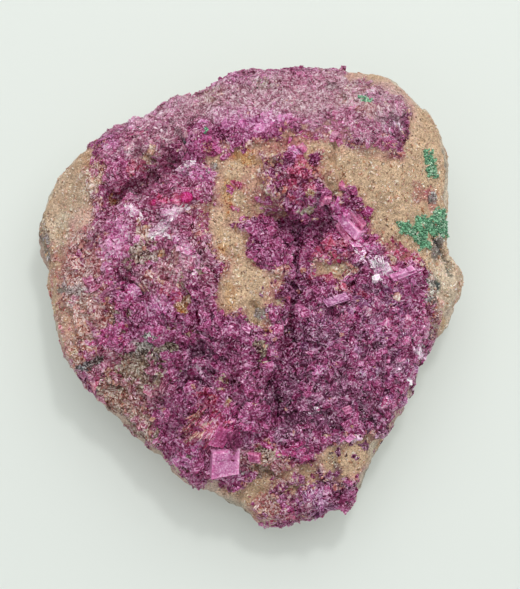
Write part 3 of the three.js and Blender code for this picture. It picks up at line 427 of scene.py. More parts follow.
# The druse's finest grain. Scales are in cells to the metre.
BUNDLE_SCALE = 850.0
BUNDLE_TURN = 12.0  # radians, times a number from 0 to 1
SPOT_SCALE = 1300.0
SLIVER_SCALE = 4600.0
SLIVER_LENGTH = 0.3
SLIVER_TONE = 1.9
SLIVER_TILT = 1.0
SPOT_TONE = 1.0
LINE_SCALE = 1700.0
LINE_WIDTH = 0.1
# The dark lines are painted shade between crystals, the pale lines painted highlights on their edges.
LINE_TONES = (1.3, -0.65)  # of dark and pale lines
# Slivers that turn pale are painted sparkle, light glinting off tiny facets.
PAINTED_SPARKLE_RANGE = (0.93, 0.97)  # slivers turn pale as their number from 0 to 1 passes this range
POWERS = (0.35, 2.4)  # a colour is raised to a power within these: pale, and deep
# The crystals' pale edges are a painted highlight.
EDGE_BAND = (0.74, 1.0)  # from where a crystal pales towards its edge, 1 being the edge
PAINTED_EDGE_HIGHLIGHT = 0.6
ROUGHNESS_BY_GLOSS = (0.55, 0.17)  # of dull and of glassy crystals
ROUGHNESS_BY_BARENESS = (0.4, 0.88)  # of the crystals' bed and of bare rock

# ---- finishes shared by several materials ----
WISP_WIDTH = 0.05
SEAM_WIDTH = 0.06
SEAM_SCALE = 1.3  # against the wisps'
SEAM_SHIFT = 0.31  # metres, so that seams and wisps differ
LINE_DISTORTION = 0.8
LEAST_SHADE = 0.25
# How a colour turns paler for a painted highlight, on grain edges, slivers and crystal edges: times the
# first triple, plus the second.
PALER = {
    "wisp": ((1.6, 2.0, 1.7), (0.12, 0.09, 0.11)),
    "sliver": ((1.3, 1.5, 1.35), (0.2, 0.17, 0.2)),
    "edge": ((1.7, 2.1, 1.75), (0.05, 0.035, 0.045)),
}

# ---- malachite ----
MALACHITE_COATS = {
    "malachite_patch": [
        (24.6, 11.4), (26.2, 11.8), (27.4, 10.9), (28.4, 12.6), (30.4, 12.9), (31.6, 14.4),
        (33.2, 14.8), (34.0, 13.2), (33.2, 10.8), (31.4, 10.2), (29.6, 10.4), (30.2, 8.4),
        (28.8, 7.6), (27.4, 9.4), (25.2, 9.3),
    ],
    "malachite_streak": [
        (29.8, 24.2), (31, 24.2), (31.2, 22.4), (31.8, 20.8), (31.2, 19.4), (30.2, 19.8),
        (29.6, 21.8),
    ],
    "malachite_flecks": [
        (18.2, 32.9), (19.4, 33.2), (20.8, 31.8), (20.2, 31.3), (18.8, 31.8),
    ],
}
FLECK_BY_THE_CREST = [(-6.9, 26.4), (-6.2, 26.4), (-5.9, 24.4), (-6.5, 24.3)]
MALACHITE_COLOURS = [(100, 158, 122), (132, 182, 148), (72, 124, 94), (178, 208, 182)]
MALACHITE_GRAIN = 0.36  # the diameter of a usual grain
MALACHITE_CROWD = 4  # grains at each vertex of the rock

# ---- studio ----
CAMERA = {"place": (1.95, -67.94, 331.0), "target": (1.95, -1.41, 18.0), "lens": 117.35, "sensor": 36.0}
CLIP_START = 0.01  # metres
LIGHTS = [  # name, place, size in metres, watts
    ("window", (120, 350, 640), 1.0, 3.7),
    ("room", (-420, -260, 420), 0.5, 0.25),
    ("lamp", (120, 260, 620), 0.08, 0.9),
]
LIGHT_TARGET = (0, 0, 10)
SKY = {"Color": (0.97, 1.0, 0.98, 1), "Strength": 0.56}
PAPER = {"Base Color": (0.56, 0.59, 0.56, 1), "Emission Color": (0.95, 1.0, 0.95, 1),
         "Emission Strength": 0.16, "Roughness": 0.7}
FLOOR_HALF_SIZE = 1.5  # metres

rng = np.random.default_rng(20)


# ---- repeatable noise ----
def scatter(*whole):
    """A repeatable number from 0 to 1 for each set of whole numbers."""
    bits = np.zeros(np.broadcast(*whole).shape, np.uint32)
    for value in whole:
        bits = (bits ^ np.asarray(value).astype(np.int64).astype(np.uint32)) * np.uint32(0x9E3779B1)
        bits ^= bits >> np.uint32(15)
    bits = (bits ^ (bits >> np.uint32(13))) * np.uint32(0x85EBCA6B)
    return (bits ^ (bits >> np.uint32(16))) / 2.0**32


def smooth_noise(points, length, seed):
    """From -1 to 1, for an array of points."""
    places = points / length + seed * 17.31
    cell = np.floor(places).astype(np.int64)
    part = places - cell
    part = part**3 * (part * (6 * part - 15) + 10)
    total = np.zeros(len(points))
    for corner in itertools.product((0, 1), repeat=3):
        weight = np.prod(np.where(corner, part, 1 - part), axis=1)
        total += weight * scatter(*(cell + corner).T, seed)
    return 2 * total - 1


def layered_noise(points, length, layers, seed):
    """Broad waves with finer ones over them, each layer half as long and half as high."""
    return sum(smooth_noise(points, length / 2**k, seed + k) / 2**k for k in range(layers))


def noise(points, name):
    """One of the patterns of NOISES."""
    length, height, layers, seed = NOISES[name]
    return height * layered_noise(points, length, layers, seed)


def scatter_three(cells, seed):
    """Three repeatable numbers from 0 to 1 for each cell."""
    return np.stack([scatter(*cells.T, seed + k) for k in range(3)], axis=1)


def scattered_cells(points, size, seed):
    """For each point: the distance to the nearest scattered centre, in cells, that cell's three
    whole numbers, and its centre."""
    places = points / size
    home = np.floor(places).astype(np.int64)
    nearest = np.full(len(points), 9.0)
    owner, middle = home.copy(), places.copy()
    for offset in itertools.product((-1, 0, 1), repeat=3):
        cell = home + offset
        centre = cell + scatter_three(cell, seed)
        distance = np.linalg.norm(places - centre, axis=1)
        closer = distance < nearest
        nearest[closer] = distance[closer]
        owner[closer], middle[closer] = cell[closer], centre[closer]
    return nearest, owner, middle * size


def smoothstep(low, high, value):
    share = np.clip((value - low) / (high - low), 0, 1)
    return share * share * (3 - 2 * share)


def linear(colours):
    """One sRGB colour or several, 0 to 255, as linear light."""
    c = np.asarray(colours, float) / 255
    return np.where(c <= 0.04045, c / 12.92, ((c + 0.055) / 1.055) ** 2.4)


def jitter(number):
    """Random vectors, each of their numbers from -0.5 to 0.5."""
    return rng.random((number, 3)) - 0.5


def laid_over(base, colour, share):
    """A base colour that gives way to another by a share from 0 to 1."""
    return base * (1 - share) + colour * share


# ---- plan geometry ----
def plan(points):
    return points[:, :2] - MARK


def margin(places, outline):
    """Distance to an outline in plan, positive inside it."""
    corners = np.array(outline, float)
    nearest = np.full(len(places), 1e9)
    inside = np.zeros(len(places), bool)
    for a, b in zip(corners, np.roll(corners, -1, axis=0)):
        side = b - a
        along = np.clip((places - a) @ side / (side @ side), 0, 1)
        nearest = np.minimum(nearest, np.linalg.norm(places - a - along[:, None] * side, axis=1))
        crosses = (a[1] > places[:, 1]) != (b[1] > places[:, 1])
        rise = b[1] - a[1] if b[1] != a[1] else 1e-9
        inside ^= crosses & (places[:, 0] < a[0] + (places[:, 1] - a[1]) * side[0] / rise)
    return np.where(inside, nearest, -nearest)


def line_distance(places, line):
    nearest = np.full(len(places), 1e9)
    for a, b in zip(np.array(line[:-1], float), np.array(line[1:], float)):
        side = b - a
        along = np.clip((places - a) @ side / (side @ side), 0, 1)
        nearest = np.minimum(nearest, np.linalg.norm(places - a - along[:, None] * side, axis=1))
    return nearest


def ellipse_distance(places, x, y, half_length, half_width, turn):
    """1 on the ellipse's edge, 0 at its centre."""
    away = places - (x, y)
    c, s = math.cos(math.radians(turn)), math.sin(math.radians(turn))
    return np.hypot((away[:, 0] * c + away[:, 1] * s) / half_length,
                    (away[:, 1] * c - away[:, 0] * s) / half_width)


def bareness(points):
    """Distance into the nearest bare place, with a frayed edge; negative under the crust."""
    places = plan(points)
    deepest = np.max([margin(places, outline) for outline in BARE_PLACES.values()], axis=0)
    return deepest + noise(points, "fray of a bare place")


def covers(points, patches):
    """Each patch's kind, and how strongly it covers each point, with a frayed edge."""
    places = plan(points)
    wander = noise(points, "fray of a patch")
    for kind, *ellipse, strength in patches:
        reach = ellipse_distance(places, *ellipse) + wander
        yield kind, strength * smoothstep(*SOFT_EDGE, reach)


def clumped_draw(points, seed, loose):
    """A number around 0.5 for each point, alike within a clump but for a loose part."""
    alike = CLUMP["height"] * smooth_noise(points, CLUMP["length"], seed)
    return 0.5 + alike + loose * (rng.random(len(points)) - 0.5)


def kinds_at(points, crusted):
    """One kind for each point, in clumps where patches fade into each other."""
    picked = np.where(crusted, KIND_NAMES.index("druse"), KIND_NAMES.index("tan"))
    border = smoothstep(-BORDER, 0.3, bareness(points))
    for kind, cover in covers(points, PATCHES):
        index = KIND_NAMES.index(kind)
        near = np.flatnonzero(cover > 0)
        draw = clumped_draw(points[near], CLUMP_SEED + index, 0.2)
        picked[near[draw < cover[near]]] = index
    draw = clumped_draw(points, BORDER_SEED, 0.3)
    picked[crusted & (draw < 0.75 * border)] = KIND_NAMES.index("salmon")
    return picked


def blended_colour(points, base, patches):
    """The patches' colours laid over a base colour, with soft edges."""
    colour = base
    for kind, cover in covers(points, patches):
        first, second = linear(KINDS[kind]["colours"][:2])
        colour = laid_over(colour, 0.6 * first + 0.4 * second, cover[:, None])
    return colour


def dusted(points, colours):
    """Colours under the veil of dust that lies on some places."""
    places = plan(points)
    wander = noise(points, "fray of the dust")
    for dust, *ellipse, strength in DUSTY_PLACES:
        reach = ellipse_distance(places, *ellipse) + wander
        veil = strength * smoothstep(1.2, 0.6, reach) * (0.7 + 0.6 * rng.random(len(points)))
        colours = laid_over(colours, linear(DUST[dust]), veil[:, None])
    return colours


def crispness(points):
    """How strongly the finest grain shows: less at the back, where dust fills it."""
    return 0.65 + 0.35 * smoothstep(29, 17, plan(points)[:, 1])


# ---- meshes from arrays ----
def write_mesh(name, vertices, faces, **attributes):
    """A mesh object from places in millimetres, faces, and values for each vertex."""
    mesh = bpy.data.meshes.new(name)
    mesh.from_pydata((vertices * MM).tolist(), [], faces)
    for attribute, values in attributes.items():
        set_attribute(mesh, attribute, values)
    piece = bpy.data.objects.new(name, mesh)
    bpy.context.scene.collection.objects.link(piece)
    return piece


def set_attribute(mesh, name, values):
    """A number or a vector for each vertex; colours are kept as vectors of linear light."""
    kind, field = ("FLOAT_VECTOR", "vector") if values.ndim == 2 else ("FLOAT", "value")
    layer = mesh.attributes.new(name, kind, "POINT")
    layer.data.foreach_set(field, values.astype(np.float32).ravel())


def places_of(mesh):
    flat = np.empty(len(mesh.vertices) * 3, np.float32)
    mesh.vertices.foreach_get("co", flat)
    return flat.reshape(-1, 3).astype(float) / MM


def normals_of(mesh):
    flat = np.empty(len(mesh.vertices) * 3, np.float32)
    mesh.vertex_normals.foreach_get("vector", flat)
    return flat.reshape(-1, 3).astype(float)


def move_vertices(mesh, places):
    mesh.vertices.foreach_set("co", (places * MM).astype(np.float32).ravel())
    mesh.update()


def shade_smooth(piece):
    piece.data.polygons.foreach_set("use_smooth", [True] * len(piece.data.polygons))


def arrays_of(bm):
    """The vertices and the faces of a bmesh, which is freed."""
    vertices = np.array([vert.co for vert in bm.verts])
    faces = np.array([[vert.index for vert in face.verts] for face in bm.faces])
    bm.free()
    return vertices, faces


def placed_copies(vertices, faces, stretch, frames, centres):
    """The vertices and faces of one shape at many places, each stretched and turned its own way."""
    placed = np.einsum("nij,nvj->nvi", frames, vertices[None] * stretch[:, None]) + centres[:, None]
    starts = np.arange(len(placed))[:, None, None] * len(vertices)
    return placed.reshape(-1, 3), (faces[None] + starts).reshape(-1, faces.shape[1])


# ---- the rock ----
def remeshed_rock():
    """The matrix's solid as an even mesh with its flat triangles eased."""
    bm = bmesh.new()
    bm.from_mesh(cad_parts["matrix"].data)
    bmesh.ops.remove_doubles(bm, verts=bm.verts, dist=1e-6)
    mesh = bpy.data.meshes.new("rock_source")
    bm.to_mesh(mesh)
    bm.free()
    source = bpy.data.objects.new("rock_source", mesh)
    bpy.context.scene.collection.objects.link(source)
    remesh = source.modifiers.new("even", "REMESH")
    remesh.mode = "VOXEL"
    remesh.voxel_size = VOXEL * MM
    ease = source.modifiers.new("ease", "SMOOTH")
    ease.iterations = EASE_STEPS
    even = bpy.data.meshes.new_from_object(source.evaluated_get(bpy.context.evaluated_depsgraph_get()))
    bpy.data.objects.remove(source)
    piece = bpy.data.objects.new("matrix_rock", even)
    bpy.context.scene.collection.objects.link(piece)
    return piece


def broken_relief(points):
    """Flat-sided steps and ridges of a fresh break."""
    _, owner, centre = scattered_cells(points, BROKEN["length"], WALL_SEEDS["cell"])
    tilt = scatter_three(owner, WALL_SEEDS["tilt"]) - 0.5
    steps = np.sum(tilt * (points - centre), axis=1) / BROKEN["length"]
    ridges = 1 - np.abs(noise(points, "ridges of the walls"))
    return BROKEN["height"] * (0.9 * steps + 0.7 * (ridges - 0.75))


def block_slope(points):
    """The shared slope of each block of crystals, its height at the points, and its owner."""
    slope, height = np.zeros_like(points), np.zeros(len(points))
    for layer, (size, steep) in enumerate(BLOCKS.values()):
        waves = [smooth_noise(points, size, SEEDS["warp"] + k) for k in range(3)]
        warped = points + 0.22 * size * np.stack(waves, axis=1)
        _, owner, centre = scattered_cells(warped, size, SEEDS["cell"] + layer)
        tilt = 2 * steep * (scatter_three(owner, SEEDS["tilt"]) - 0.5)
        slope += tilt
        step = 0.08 * size * (scatter(*owner.T, SEEDS["height"]) - 0.5)
        height += np.sum(tilt * (points - centre), axis=1) + step
    return slope, height, owner


def crust_relief(points):
    return block_slope(points)[1] + noise(points, "swell of the crust")


def bare_relief(points):
    swell = noise(points, "swell of the bare rock")
    pits = smoothstep(0.32, 0.7, noise(points, "pits of the bare rock")) * smoothstep(-0.2, 0.5, swell)
    return noise(points, "grain of the bare rock") + 0.35 * swell - 0.45 * pits


def shape_rock(piece):
    """Moves the rock's vertices and returns what the rest of the script needs to know of them."""
    points = places_of(piece.data)
    normals = normals_of(piece.data)
    places = plan(points)
    facing_up = normals[:, 2] + noise(points, "fray of the rim")
    inner = smoothstep(0.0, 1.5, margin(places, INTERIOR)) * (normals[:, 2] > -0.2)
    inner = inner * (points[:, 2] > INTERIOR_FLOOR)
    upper = np.maximum(smoothstep(*RIM_WRAP, facing_up), inner)
    into_bare = bareness(points)
    crusted = upper * smoothstep(0.6, -0.6, into_bare)
    bare = upper * (1 - crusted)
    well_inside = np.maximum(smoothstep(0.6, 1.0, upper) * smoothstep(0.5, 0.85, facing_up), inner)
    move = crusted * (CRUST_LIFT + crust_relief(points)) * (0.35 + 0.65 * well_inside)
    move += bare * bare_relief(points)
    for *ellipse, height in SINGLES:
        reach = ellipse_distance(places, *ellipse)
        move += upper * height * np.exp(-(reach**2) * 1.4)
    rough = broken_relief(points) + noise(points, "roughness of the walls")
    move += (1 - upper) * (rough - 0.25)
    for line, half_width, height in FOLDS:
        move += upper * height * np.exp(-((line_distance(places, line) / half_width) ** 2))
    sole = smoothstep(1.2, 0.1, points[:, 2]) * smoothstep(-0.4, -0.8, normals[:, 2])
    move = np.where(sole > 0, np.minimum(move, 0) * (1 - 0.35 * sole), move)
    moved = points + normals * move[:, None]
    moved[:, 2] = np.maximum(moved[:, 2], 0.0)
    move_vertices(piece.data, moved)
    return {"points": moved, "upper": upper, "crusted": crusted, "bare": bare, "into_bare": into_bare}


def rock_colour(name):
    return linear(ROCK_COLOURS[name])


def wall_colour(points, upper):
    """The broken sides: streaked with grey, blushing in places, and pale along the rim, partly painted
    light that lifts the shade where the rim turns down.
    """
    streak = smoothstep(0.1, 0.7, noise(points * (1, 1, 3), "streaks of the walls"))[:, None]
    blush = smoothstep(0.15, 0.8, noise(points, "blush of the walls"))[:, None]
    # painted light in part: the rim is paled against the shade where it faces away
    rim = smoothstep(0.0, 0.5, upper) * smoothstep(1.0, 0.5, upper)
    wall = rock_colour("wall") * (1 + noise(points, "tone of the walls")[:, None])
    wall = laid_over(wall, rock_colour("grey streak"), 0.55 * streak)
    wall = laid_over(wall, rock_colour("blush"), 0.5 * blush)
    return wall * (1 - 0.75 * rim) + rock_colour("rim") * 0.8 * rim


def top_colour(points, facts):
    """The upper side: bare rock, rosy beside the crust, and the bed of the crystals, under the
    patches' colours, among them painted glint and painted shade, a little green from the malachite, and
    dust."""
    crusted = facts["crusted"][:, None]
    border = 0.5 * smoothstep(BORDER, 0.0, facts["into_bare"])[:, None] * (1 - crusted)
    tan = rock_colour("bare top") * (1 + noise(points, "tone of the bare top"))[:, None]
    tan = laid_over(tan, rock_colour("border"), border)
    bed = rock_colour("bed") * (1 + 0.2 * noise(points, "tone of the druse"))[:, None]
    top = blended_colour(points, laid_over(tan, bed, crusted), PATCHES)
    for outline in MALACHITE_COATS.values():
        within = margin(plan(points), outline) + 0.5 * noise(points, "fray of the malachite")
        green = 0.85 * smoothstep(-0.25, 0.35, within)[:, None]
        top = laid_over(top, linear(MALACHITE_COLOURS[1]), green)
    return dusted(points, top) * (1 - 0.2 * crusted)


def colour_rock(piece, facts):
    points, upper = facts["points"], facts["upper"][:, None]
    tint = laid_over(wall_colour(points, upper), top_colour(points, facts), upper)
    near_rim = smoothstep(0.02, 0.25, upper)
    tint = laid_over(tint, blended_colour(points, tint, RIM_SMEARS), near_rim)
    set_attribute(piece.data, "tint", tint)
    set_attribute(piece.data, "bare", facts["bare"] + (1 - facts["upper"]))
    set_attribute(piece.data, "crisp", crispness(points))


# ---- crystals ----
def rhomb_axes():
    """The three edges of a rhombohedron that stands on a corner, as unit vectors."""
    across, up = math.sin(C_AXIS_TO_EDGE), math.cos(C_AXIS_TO_EDGE)
    turns = (0, 2 * math.pi / 3, 4 * math.pi / 3)
    return [Vector((across * math.cos(turn), across * math.sin(turn), up)) for turn in turns]


CORNER_UP = Matrix([list(edge) for edge in rhomb_axes()]).transposed()
LAY_DOWN = rhomb_axes()[0].cross(rhomb_axes()[1]).rotation_difference(Vector((0, 0, 1))).to_matrix()
FACE_UP = (LAY_DOWN @ CORNER_UP).to_4x4()
CORNER_UP = CORNER_UP.to_4x4()


def crystal_template(stepped, corner_up):
    """A rhombohedron of edge 1: its vertices, faces, and each vertex's place between the edges."""
    bm = bmesh.new()
    bmesh.ops.create_cube(bm, size=1)
    if stepped:
        for _ in range(STEPPED["steps"]):
            tops = [face for face in bm.faces if sum(face.normal) > 0.9 and face.calc_area() > 0.3]
            bmesh.ops.inset_individual(bm, faces=tops, thickness=STEPPED["inset"])
            for face in tops:
                bmesh.ops.translate(bm, verts=face.verts, vec=face.normal * STEPPED["rise"])
    corners = np.array([vert.co for vert in bm.verts]) * 2
    bmesh.ops.transform(bm, matrix=CORNER_UP if corner_up else FACE_UP, verts=bm.verts)
    bmesh.ops.recalc_face_normals(bm, faces=bm.faces)
    return *arrays_of(bm), corners.clip(-1, 1)


def turned_frames(directions, spins):
    """Rotation matrices whose third column is a direction, spun about it."""
    helper = np.where(np.abs(directions[:, 2:]) < 0.9, (0.0, 0.0, 1.0), (1.0, 0.0, 0.0))
    first = unit(np.cross(helper, directions))
    second = np.cross(directions, first)
    c, s = np.cos(spins)[:, None], np.sin(spins)[:, None]
    return np.stack([first * c + second * s, second * c - first * s, directions], axis=2)


def frames_along(directions, wanted):
    """Rotation matrices whose third column is a direction and whose first is near a wanted one."""
    first = unit(wanted - np.sum(wanted * directions, axis=1, keepdims=True) * directions)
    return np.stack([first, np.cross(directions, first), directions], axis=2)


def unit(vectors):
    return vectors / np.linalg.norm(vectors, axis=1, keepdims=True)


def kind_values(key):
    return np.array([KINDS[name][key] for name in KIND_NAMES], float)


def crystal_colours(points, kinds, variety):
    """Each crystal's colour: from the first of its kind's to the last, over a millimetre or two."""
    tone = 0.5 * noise(points, "tone of the druse")
    drift = 0.5 + tone + variety * (rng.random(len(points)) - 0.5)
    tints = np.empty((len(points), 3))
    for index, name in enumerate(KIND_NAMES):
        colours = linear(KINDS[name]["colours"])
        chosen = kinds == index
        along = np.clip(drift[chosen], 0, 0.999) * (len(colours) - 1)
        first, part = along.astype(int), (along % 1)[:, None]
        tints[chosen] = laid_over(colours[first], colours[first + 1], part)
    light = 1 + 0.7 * variety * (rng.random(len(points)) - 0.5)
    return dusted(points, tints * light[:, None])


def random_places(piece, facts, number):
    """Places spread over the rock's upper side, with the rock's facts interpolated there."""
    mesh = piece.data
    mesh.calc_loop_triangles()
    triangles = np.empty(len(mesh.loop_triangles) * 3, np.int32)
    mesh.loop_triangles.foreach_get("vertices", triangles)
    triangles = triangles.reshape(-1, 3)
    triangles = triangles[facts["upper"][triangles].mean(axis=1) > 0.12]
    corners = facts["points"][triangles]
    cross = np.cross(corners[:, 1] - corners[:, 0], corners[:, 2] - corners[:, 0])
    reach = np.cumsum(np.linalg.norm(cross, axis=1))
    chosen = triangles[np.searchsorted(reach, rng.random(number) * reach[-1])]
    shares = rng.dirichlet((1, 1, 1), number)

    def blend(values):
        return np.einsum("nk,nk...->n...", shares, values[chosen])

    there = {key: blend(facts[key]) for key in ("upper", "crusted")}
    return blend(facts["points"]), unit(blend(normals_of(mesh))), there


def crystal_sites(piece, facts, number, size, spread, shape, lean, clear, crisp, variety):
    """Where the crystals of one class grow, and how."""
    points, normals, there = random_places(piece, facts, number)
    kinds = kinds_at(points, rng.random(number) < there["crusted"])
    thinning = smoothstep(*RIM_OF_GROWTH, there["upper"])
    grows = rng.random(number) < kind_values("share")[kinds] * thinning
    points, normals, kinds = points[grows], normals[grows], kinds[grows]
    count = len(points)
    order = kind_values("order")[kinds][:, None]
    slope, _, owner = block_slope(points)
    own = jitter(count)
    lean_turn = 2 * math.pi * scatter(*owner.T, SEEDS["lean"])
    leaning = lean * np.stack([np.cos(lean_turn), np.sin(lean_turn), 0 * lean_turn], axis=1)
    directions = unit(normals - (slope - leaning) * order + own * (0.2 + 1.3 * (1 - order)))
    glints = (kinds == KIND_NAMES.index("painted_glint")) & (rng.random(count) < GLINT_SHARE)
    towards = unit(np.array(TO_THE_GLINT) + 0.3 * own)
    directions = np.where(glints[:, None], towards, directions)
    shared_spins = 2 * math.pi * scatter(*owner.T, SEEDS["spin"])
    spins = shared_spins + (1 - order[:, 0]) * 5.0 * own[:, 0] + 0.15 * own[:, 1]
    edges = size * kind_values("edge")[kinds] * np.exp(spread * rng.standard_normal(count).clip(-2, 2))
    edges *= 0.3 + 0.7 * smoothstep(0.45, 1.0, there["upper"][grows])  # smaller at the rim
    edges *= 0.66 + 0.34 * smoothstep(30, 23, plan(points)[:, 1])  # and towards the back
    stretch = edges[:, None] * shape * (1 + 0.5 * jitter(count))
    sunk = edges * (clear - 0.5 + 0.35 * rng.random(count))
    return {"centres": points + normals * sunk[:, None], "frames": turned_frames(directions, spins),
            "stretch": stretch, "tints": crystal_colours(points, kinds, variety),
            "gloss": np.clip(kind_values("gloss")[kinds] + 0.3 * own[:, 2], 0, 1),
            "crisp": crispness(points) * np.where(glints, 0.8, 1.0) * crisp,
            "corner_up": (scatter(*owner.T, SEEDS["corner up"]) < CORNER_UP_SHARE) & ~glints}


def placed_crystals(sites, template):
    """The vertices, faces and vertex values of one template at many sites."""
    vertices, faces, corners = template
    placed, placed_faces = placed_copies(
        vertices, faces, sites["stretch"], sites["frames"], sites["centres"])
    size = len(vertices)
    sharp = smoothstep(0.3, 0.6, sites["gloss"])[:, None, None]
    return {"vertices": placed, "faces": placed_faces, "tint": np.repeat(sites["tints"], size, axis=0),
            "gloss": np.repeat(sites["gloss"], size), "crisp": np.repeat(sites["crisp"], size),
            "corner": (corners[None] * sharp).reshape(-1, 3)}


def write_field(name, groups):
    """One joined mesh of several groups of placed crystals."""
    starts = np.cumsum([0] + [len(group["vertices"]) for group in groups])
    faces = [face for group, start in zip(groups, starts) for face in (group["faces"] + start).tolist()]
    joined = {key: np.concatenate([group[key] for group in groups]) for key in groups[0] if key != "faces"}
    return write_mesh(name, joined.pop("vertices"), faces, **joined)


def region_of(places):
    """Names the part of the upper side that each plan place belongs to."""
    x, y = places.T
    toe = margin(places, TOE) > -0.4
    return np.select([toe, y > 22, (x < -9) & (y > 2), x < -9, (x < 9) & (y > 0), x < 9, y > -2],
                     ["toe", "back", "left", "lower_left", "middle", "front", "right"], "bowl")


def grow_druse(piece, facts, material):
    fields = {}
    for name, settings in CLASSES.items():
        sites = crystal_sites(piece, facts, **settings)
        regions = region_of(plan(sites["centres"]))
        for corner_up in (False, True):
            template = crystal_template(name == "stepped", corner_up)
            for region in np.unique(regions):
                chosen = (regions == region) & (sites["corner_up"] == corner_up)
                some = {key: values[chosen] for key, values in sites.items()}
                fields.setdefault(region, []).append(placed_crystals(some, template))
    for region, groups in fields.items():
        solid = "toe_crust" if region == "toe" else "dolomite_crust"
        finish_piece(write_field(f"druse_{region}", groups), material, "cobaltoan_dolomite", solid)


def surface_below(tree, x, y):
    """The rock's place and normal under a plan place."""
    start = Vector(((x + MARK[0]) * MM, (y + MARK[1]) * MM, ABOVE * MM))
    place, normal, _, _ = tree.ray_cast(start, Vector((0, 0, -1)))
    return np.array(place) / MM, np.array(normal)


def cleaved_crystal(edges, seed):
    """A large crystal: a rhombohedron with broad growth steps, parallel ridges and worn edges."""
    bm = bmesh.new()
    bmesh.ops.create_cube(bm, size=1)
    bmesh.ops.transform(bm, matrix=Matrix.Diagonal((*edges, 1)), verts=bm.verts)
    draw = np.random.default_rng(seed)
    for _ in range(CLEAVED["steps"]):
        tops = [face for face in bm.faces if face.normal.z > 0.9 and face.calc_area() > 0.6]
        if not tops:
            break
        top = max(tops, key=lambda face: face.calc_area())
        across = Vector((1, 0, 0)) if draw.random() < 0.5 else Vector((0, 1, 0))
        spot = top.calc_center_median() + across * float(draw.uniform(-0.25, 0.25)) * max(edges)
        bmesh.ops.bisect_plane(bm, geom=[top, *top.edges, *top.verts], plane_co=spot, plane_no=across)
        raised = [face for face in bm.faces if face.normal.z > 0.9
                  and (face.calc_center_median() - spot).dot(across) > 0]
        if raised:
            lifted = bmesh.ops.extrude_face_region(bm, geom=raised)
            bmesh.ops.delete(bm, geom=raised, context="FACES_ONLY")
            verts = [part for part in lifted["geom"] if isinstance(part, bmesh.types.BMVert)]
            bmesh.ops.translate(bm, verts=verts, vec=(0, 0, float(draw.uniform(*CLEAVED["rise"]))))
    bmesh.ops.remove_doubles(bm, verts=bm.verts, dist=1e-4)
    bmesh.ops.bevel(bm, geom=bm.edges[:], offset=CLEAVED["worn edge"], affect="EDGES", segments=1,
                    profile=0.5, material=-1)
    corners = np.array([vert.co for vert in bm.verts]) / (np.array(edges) / 2)
    bmesh.ops.transform(bm, matrix=FACE_UP, verts=bm.verts)
    bmesh.ops.triangulate(bm, faces=bm.faces)
    bmesh.ops.recalc_face_normals(bm, faces=bm.faces)
    return *arrays_of(bm), corners.clip(-1, 1)


def plan_direction(turn):
    return np.array([[math.cos(math.radians(turn)), math.sin(math.radians(turn)), 0.0]])


def named_crystal(tree, seed, kind, x, y, edges, turn, lean, azimuth):
    shape, faces, corners = cleaved_crystal(edges, seed)
    direction = math.sin(math.radians(lean)) * plan_direction(azimuth)
    direction[0, 2] = math.cos(math.radians(lean))
    turned = frames_along(direction, plan_direction(turn))[0]
    place, _ = surface_below(tree, x, y)
    sunk = max(0.12 * edges[2], 0.5 * edges[2] - CLEAR_OF_THE_BED)
    vertices = shape @ turned.T + place - direction[0] * sunk
    colours = linear(KINDS[kind]["colours"])
    shade = (0.5 + noise(vertices, "tone of a large crystal")).clip(0, 1)[:, None]
    return {"vertices": vertices, "faces": faces, "tint": laid_over(colours[0], colours[-1], shade),
            "gloss": np.full(len(shape), KINDS[kind]["gloss"]), "corner": corners,
            "crisp": np.full(len(shape), 0.4)}


def glassy_ball(tree, x, y, radius):
    shape, faces = rounded_grain(2)
    place, normal = surface_below(tree, x, y)
    turned = turned_frames(normal[None], np.zeros(1))[0]
    vertices = (shape * radius * (1.0, 1.0, 0.7)) @ turned.T + place + normal * radius * 0.1
    return {"vertices": vertices, "faces": faces, "tint": np.broadcast_to(linear(RUBY), shape.shape),
            "gloss": np.ones(len(shape)), "corner": np.zeros_like(shape), "crisp": np.full(len(shape), 0.5)}


def blade_fan(tree, kind, x, y, half_length, half_width, turn, number, blade_turn, length):
    """Thin crystals side by side, all running one way across the surface."""
    radius, around = np.sqrt(rng.random(number)), 2 * math.pi * rng.random(number)
    across = np.stack([radius * np.cos(around) * half_length, radius * np.sin(around) * half_width], axis=1)
    c, s = math.cos(math.radians(turn)), math.sin(math.radians(turn))
    places = across @ np.array([[c, s], [-s, c]]) + (x, y)
    points, normals = (np.array(part) for part in zip(*(surface_below(tree, *place) for place in places)))
    lean = noise(points, "lean of the blades")[:, None] * np.cross(plan_direction(blade_turn), normals)
    directions = unit(normals + lean + 0.25 * jitter(number))
    if kind == "painted_glint":
        glints = rng.random((number, 1)) < GLINT_SHARE_OF_BLADES
        towards = np.array(TO_THE_GLINT) + 0.25 * jitter(number)
        directions = unit(np.where(glints, towards, directions + 0.5 * jitter(number)))
    own_turn = plan_direction(blade_turn) + 0.3 * jitter(number)
    sizes = 0.7 + 0.6 * rng.random((number, 1))
    sites = {"centres": points - normals * BLADE["sunk"], "frames": frames_along(directions, own_turn),
             "stretch": sizes * (length, BLADE["width"], BLADE["thickness"]),
             "gloss": np.full(number, KINDS[kind]["gloss"]), "crisp": np.full(number, 0.8),
             "tints": crystal_colours(points, np.full(number, KIND_NAMES.index(kind)), 0.8)}
    return placed_crystals(sites, crystal_template(False, False))


def grow_named_crystals(tree, material):
    groups = [named_crystal(tree, seed, *settings) for seed, settings in enumerate(NAMED_CRYSTALS)]
    groups += [glassy_ball(tree, *settings) for settings in GLASSY_BALLS]
    groups += [blade_fan(tree, *settings) for settings in BLADE_FANS]
    piece = write_field("druse_large_crystals", groups)
    finish_piece(piece, material, "cobaltoan_dolomite", "dolomite_crust")


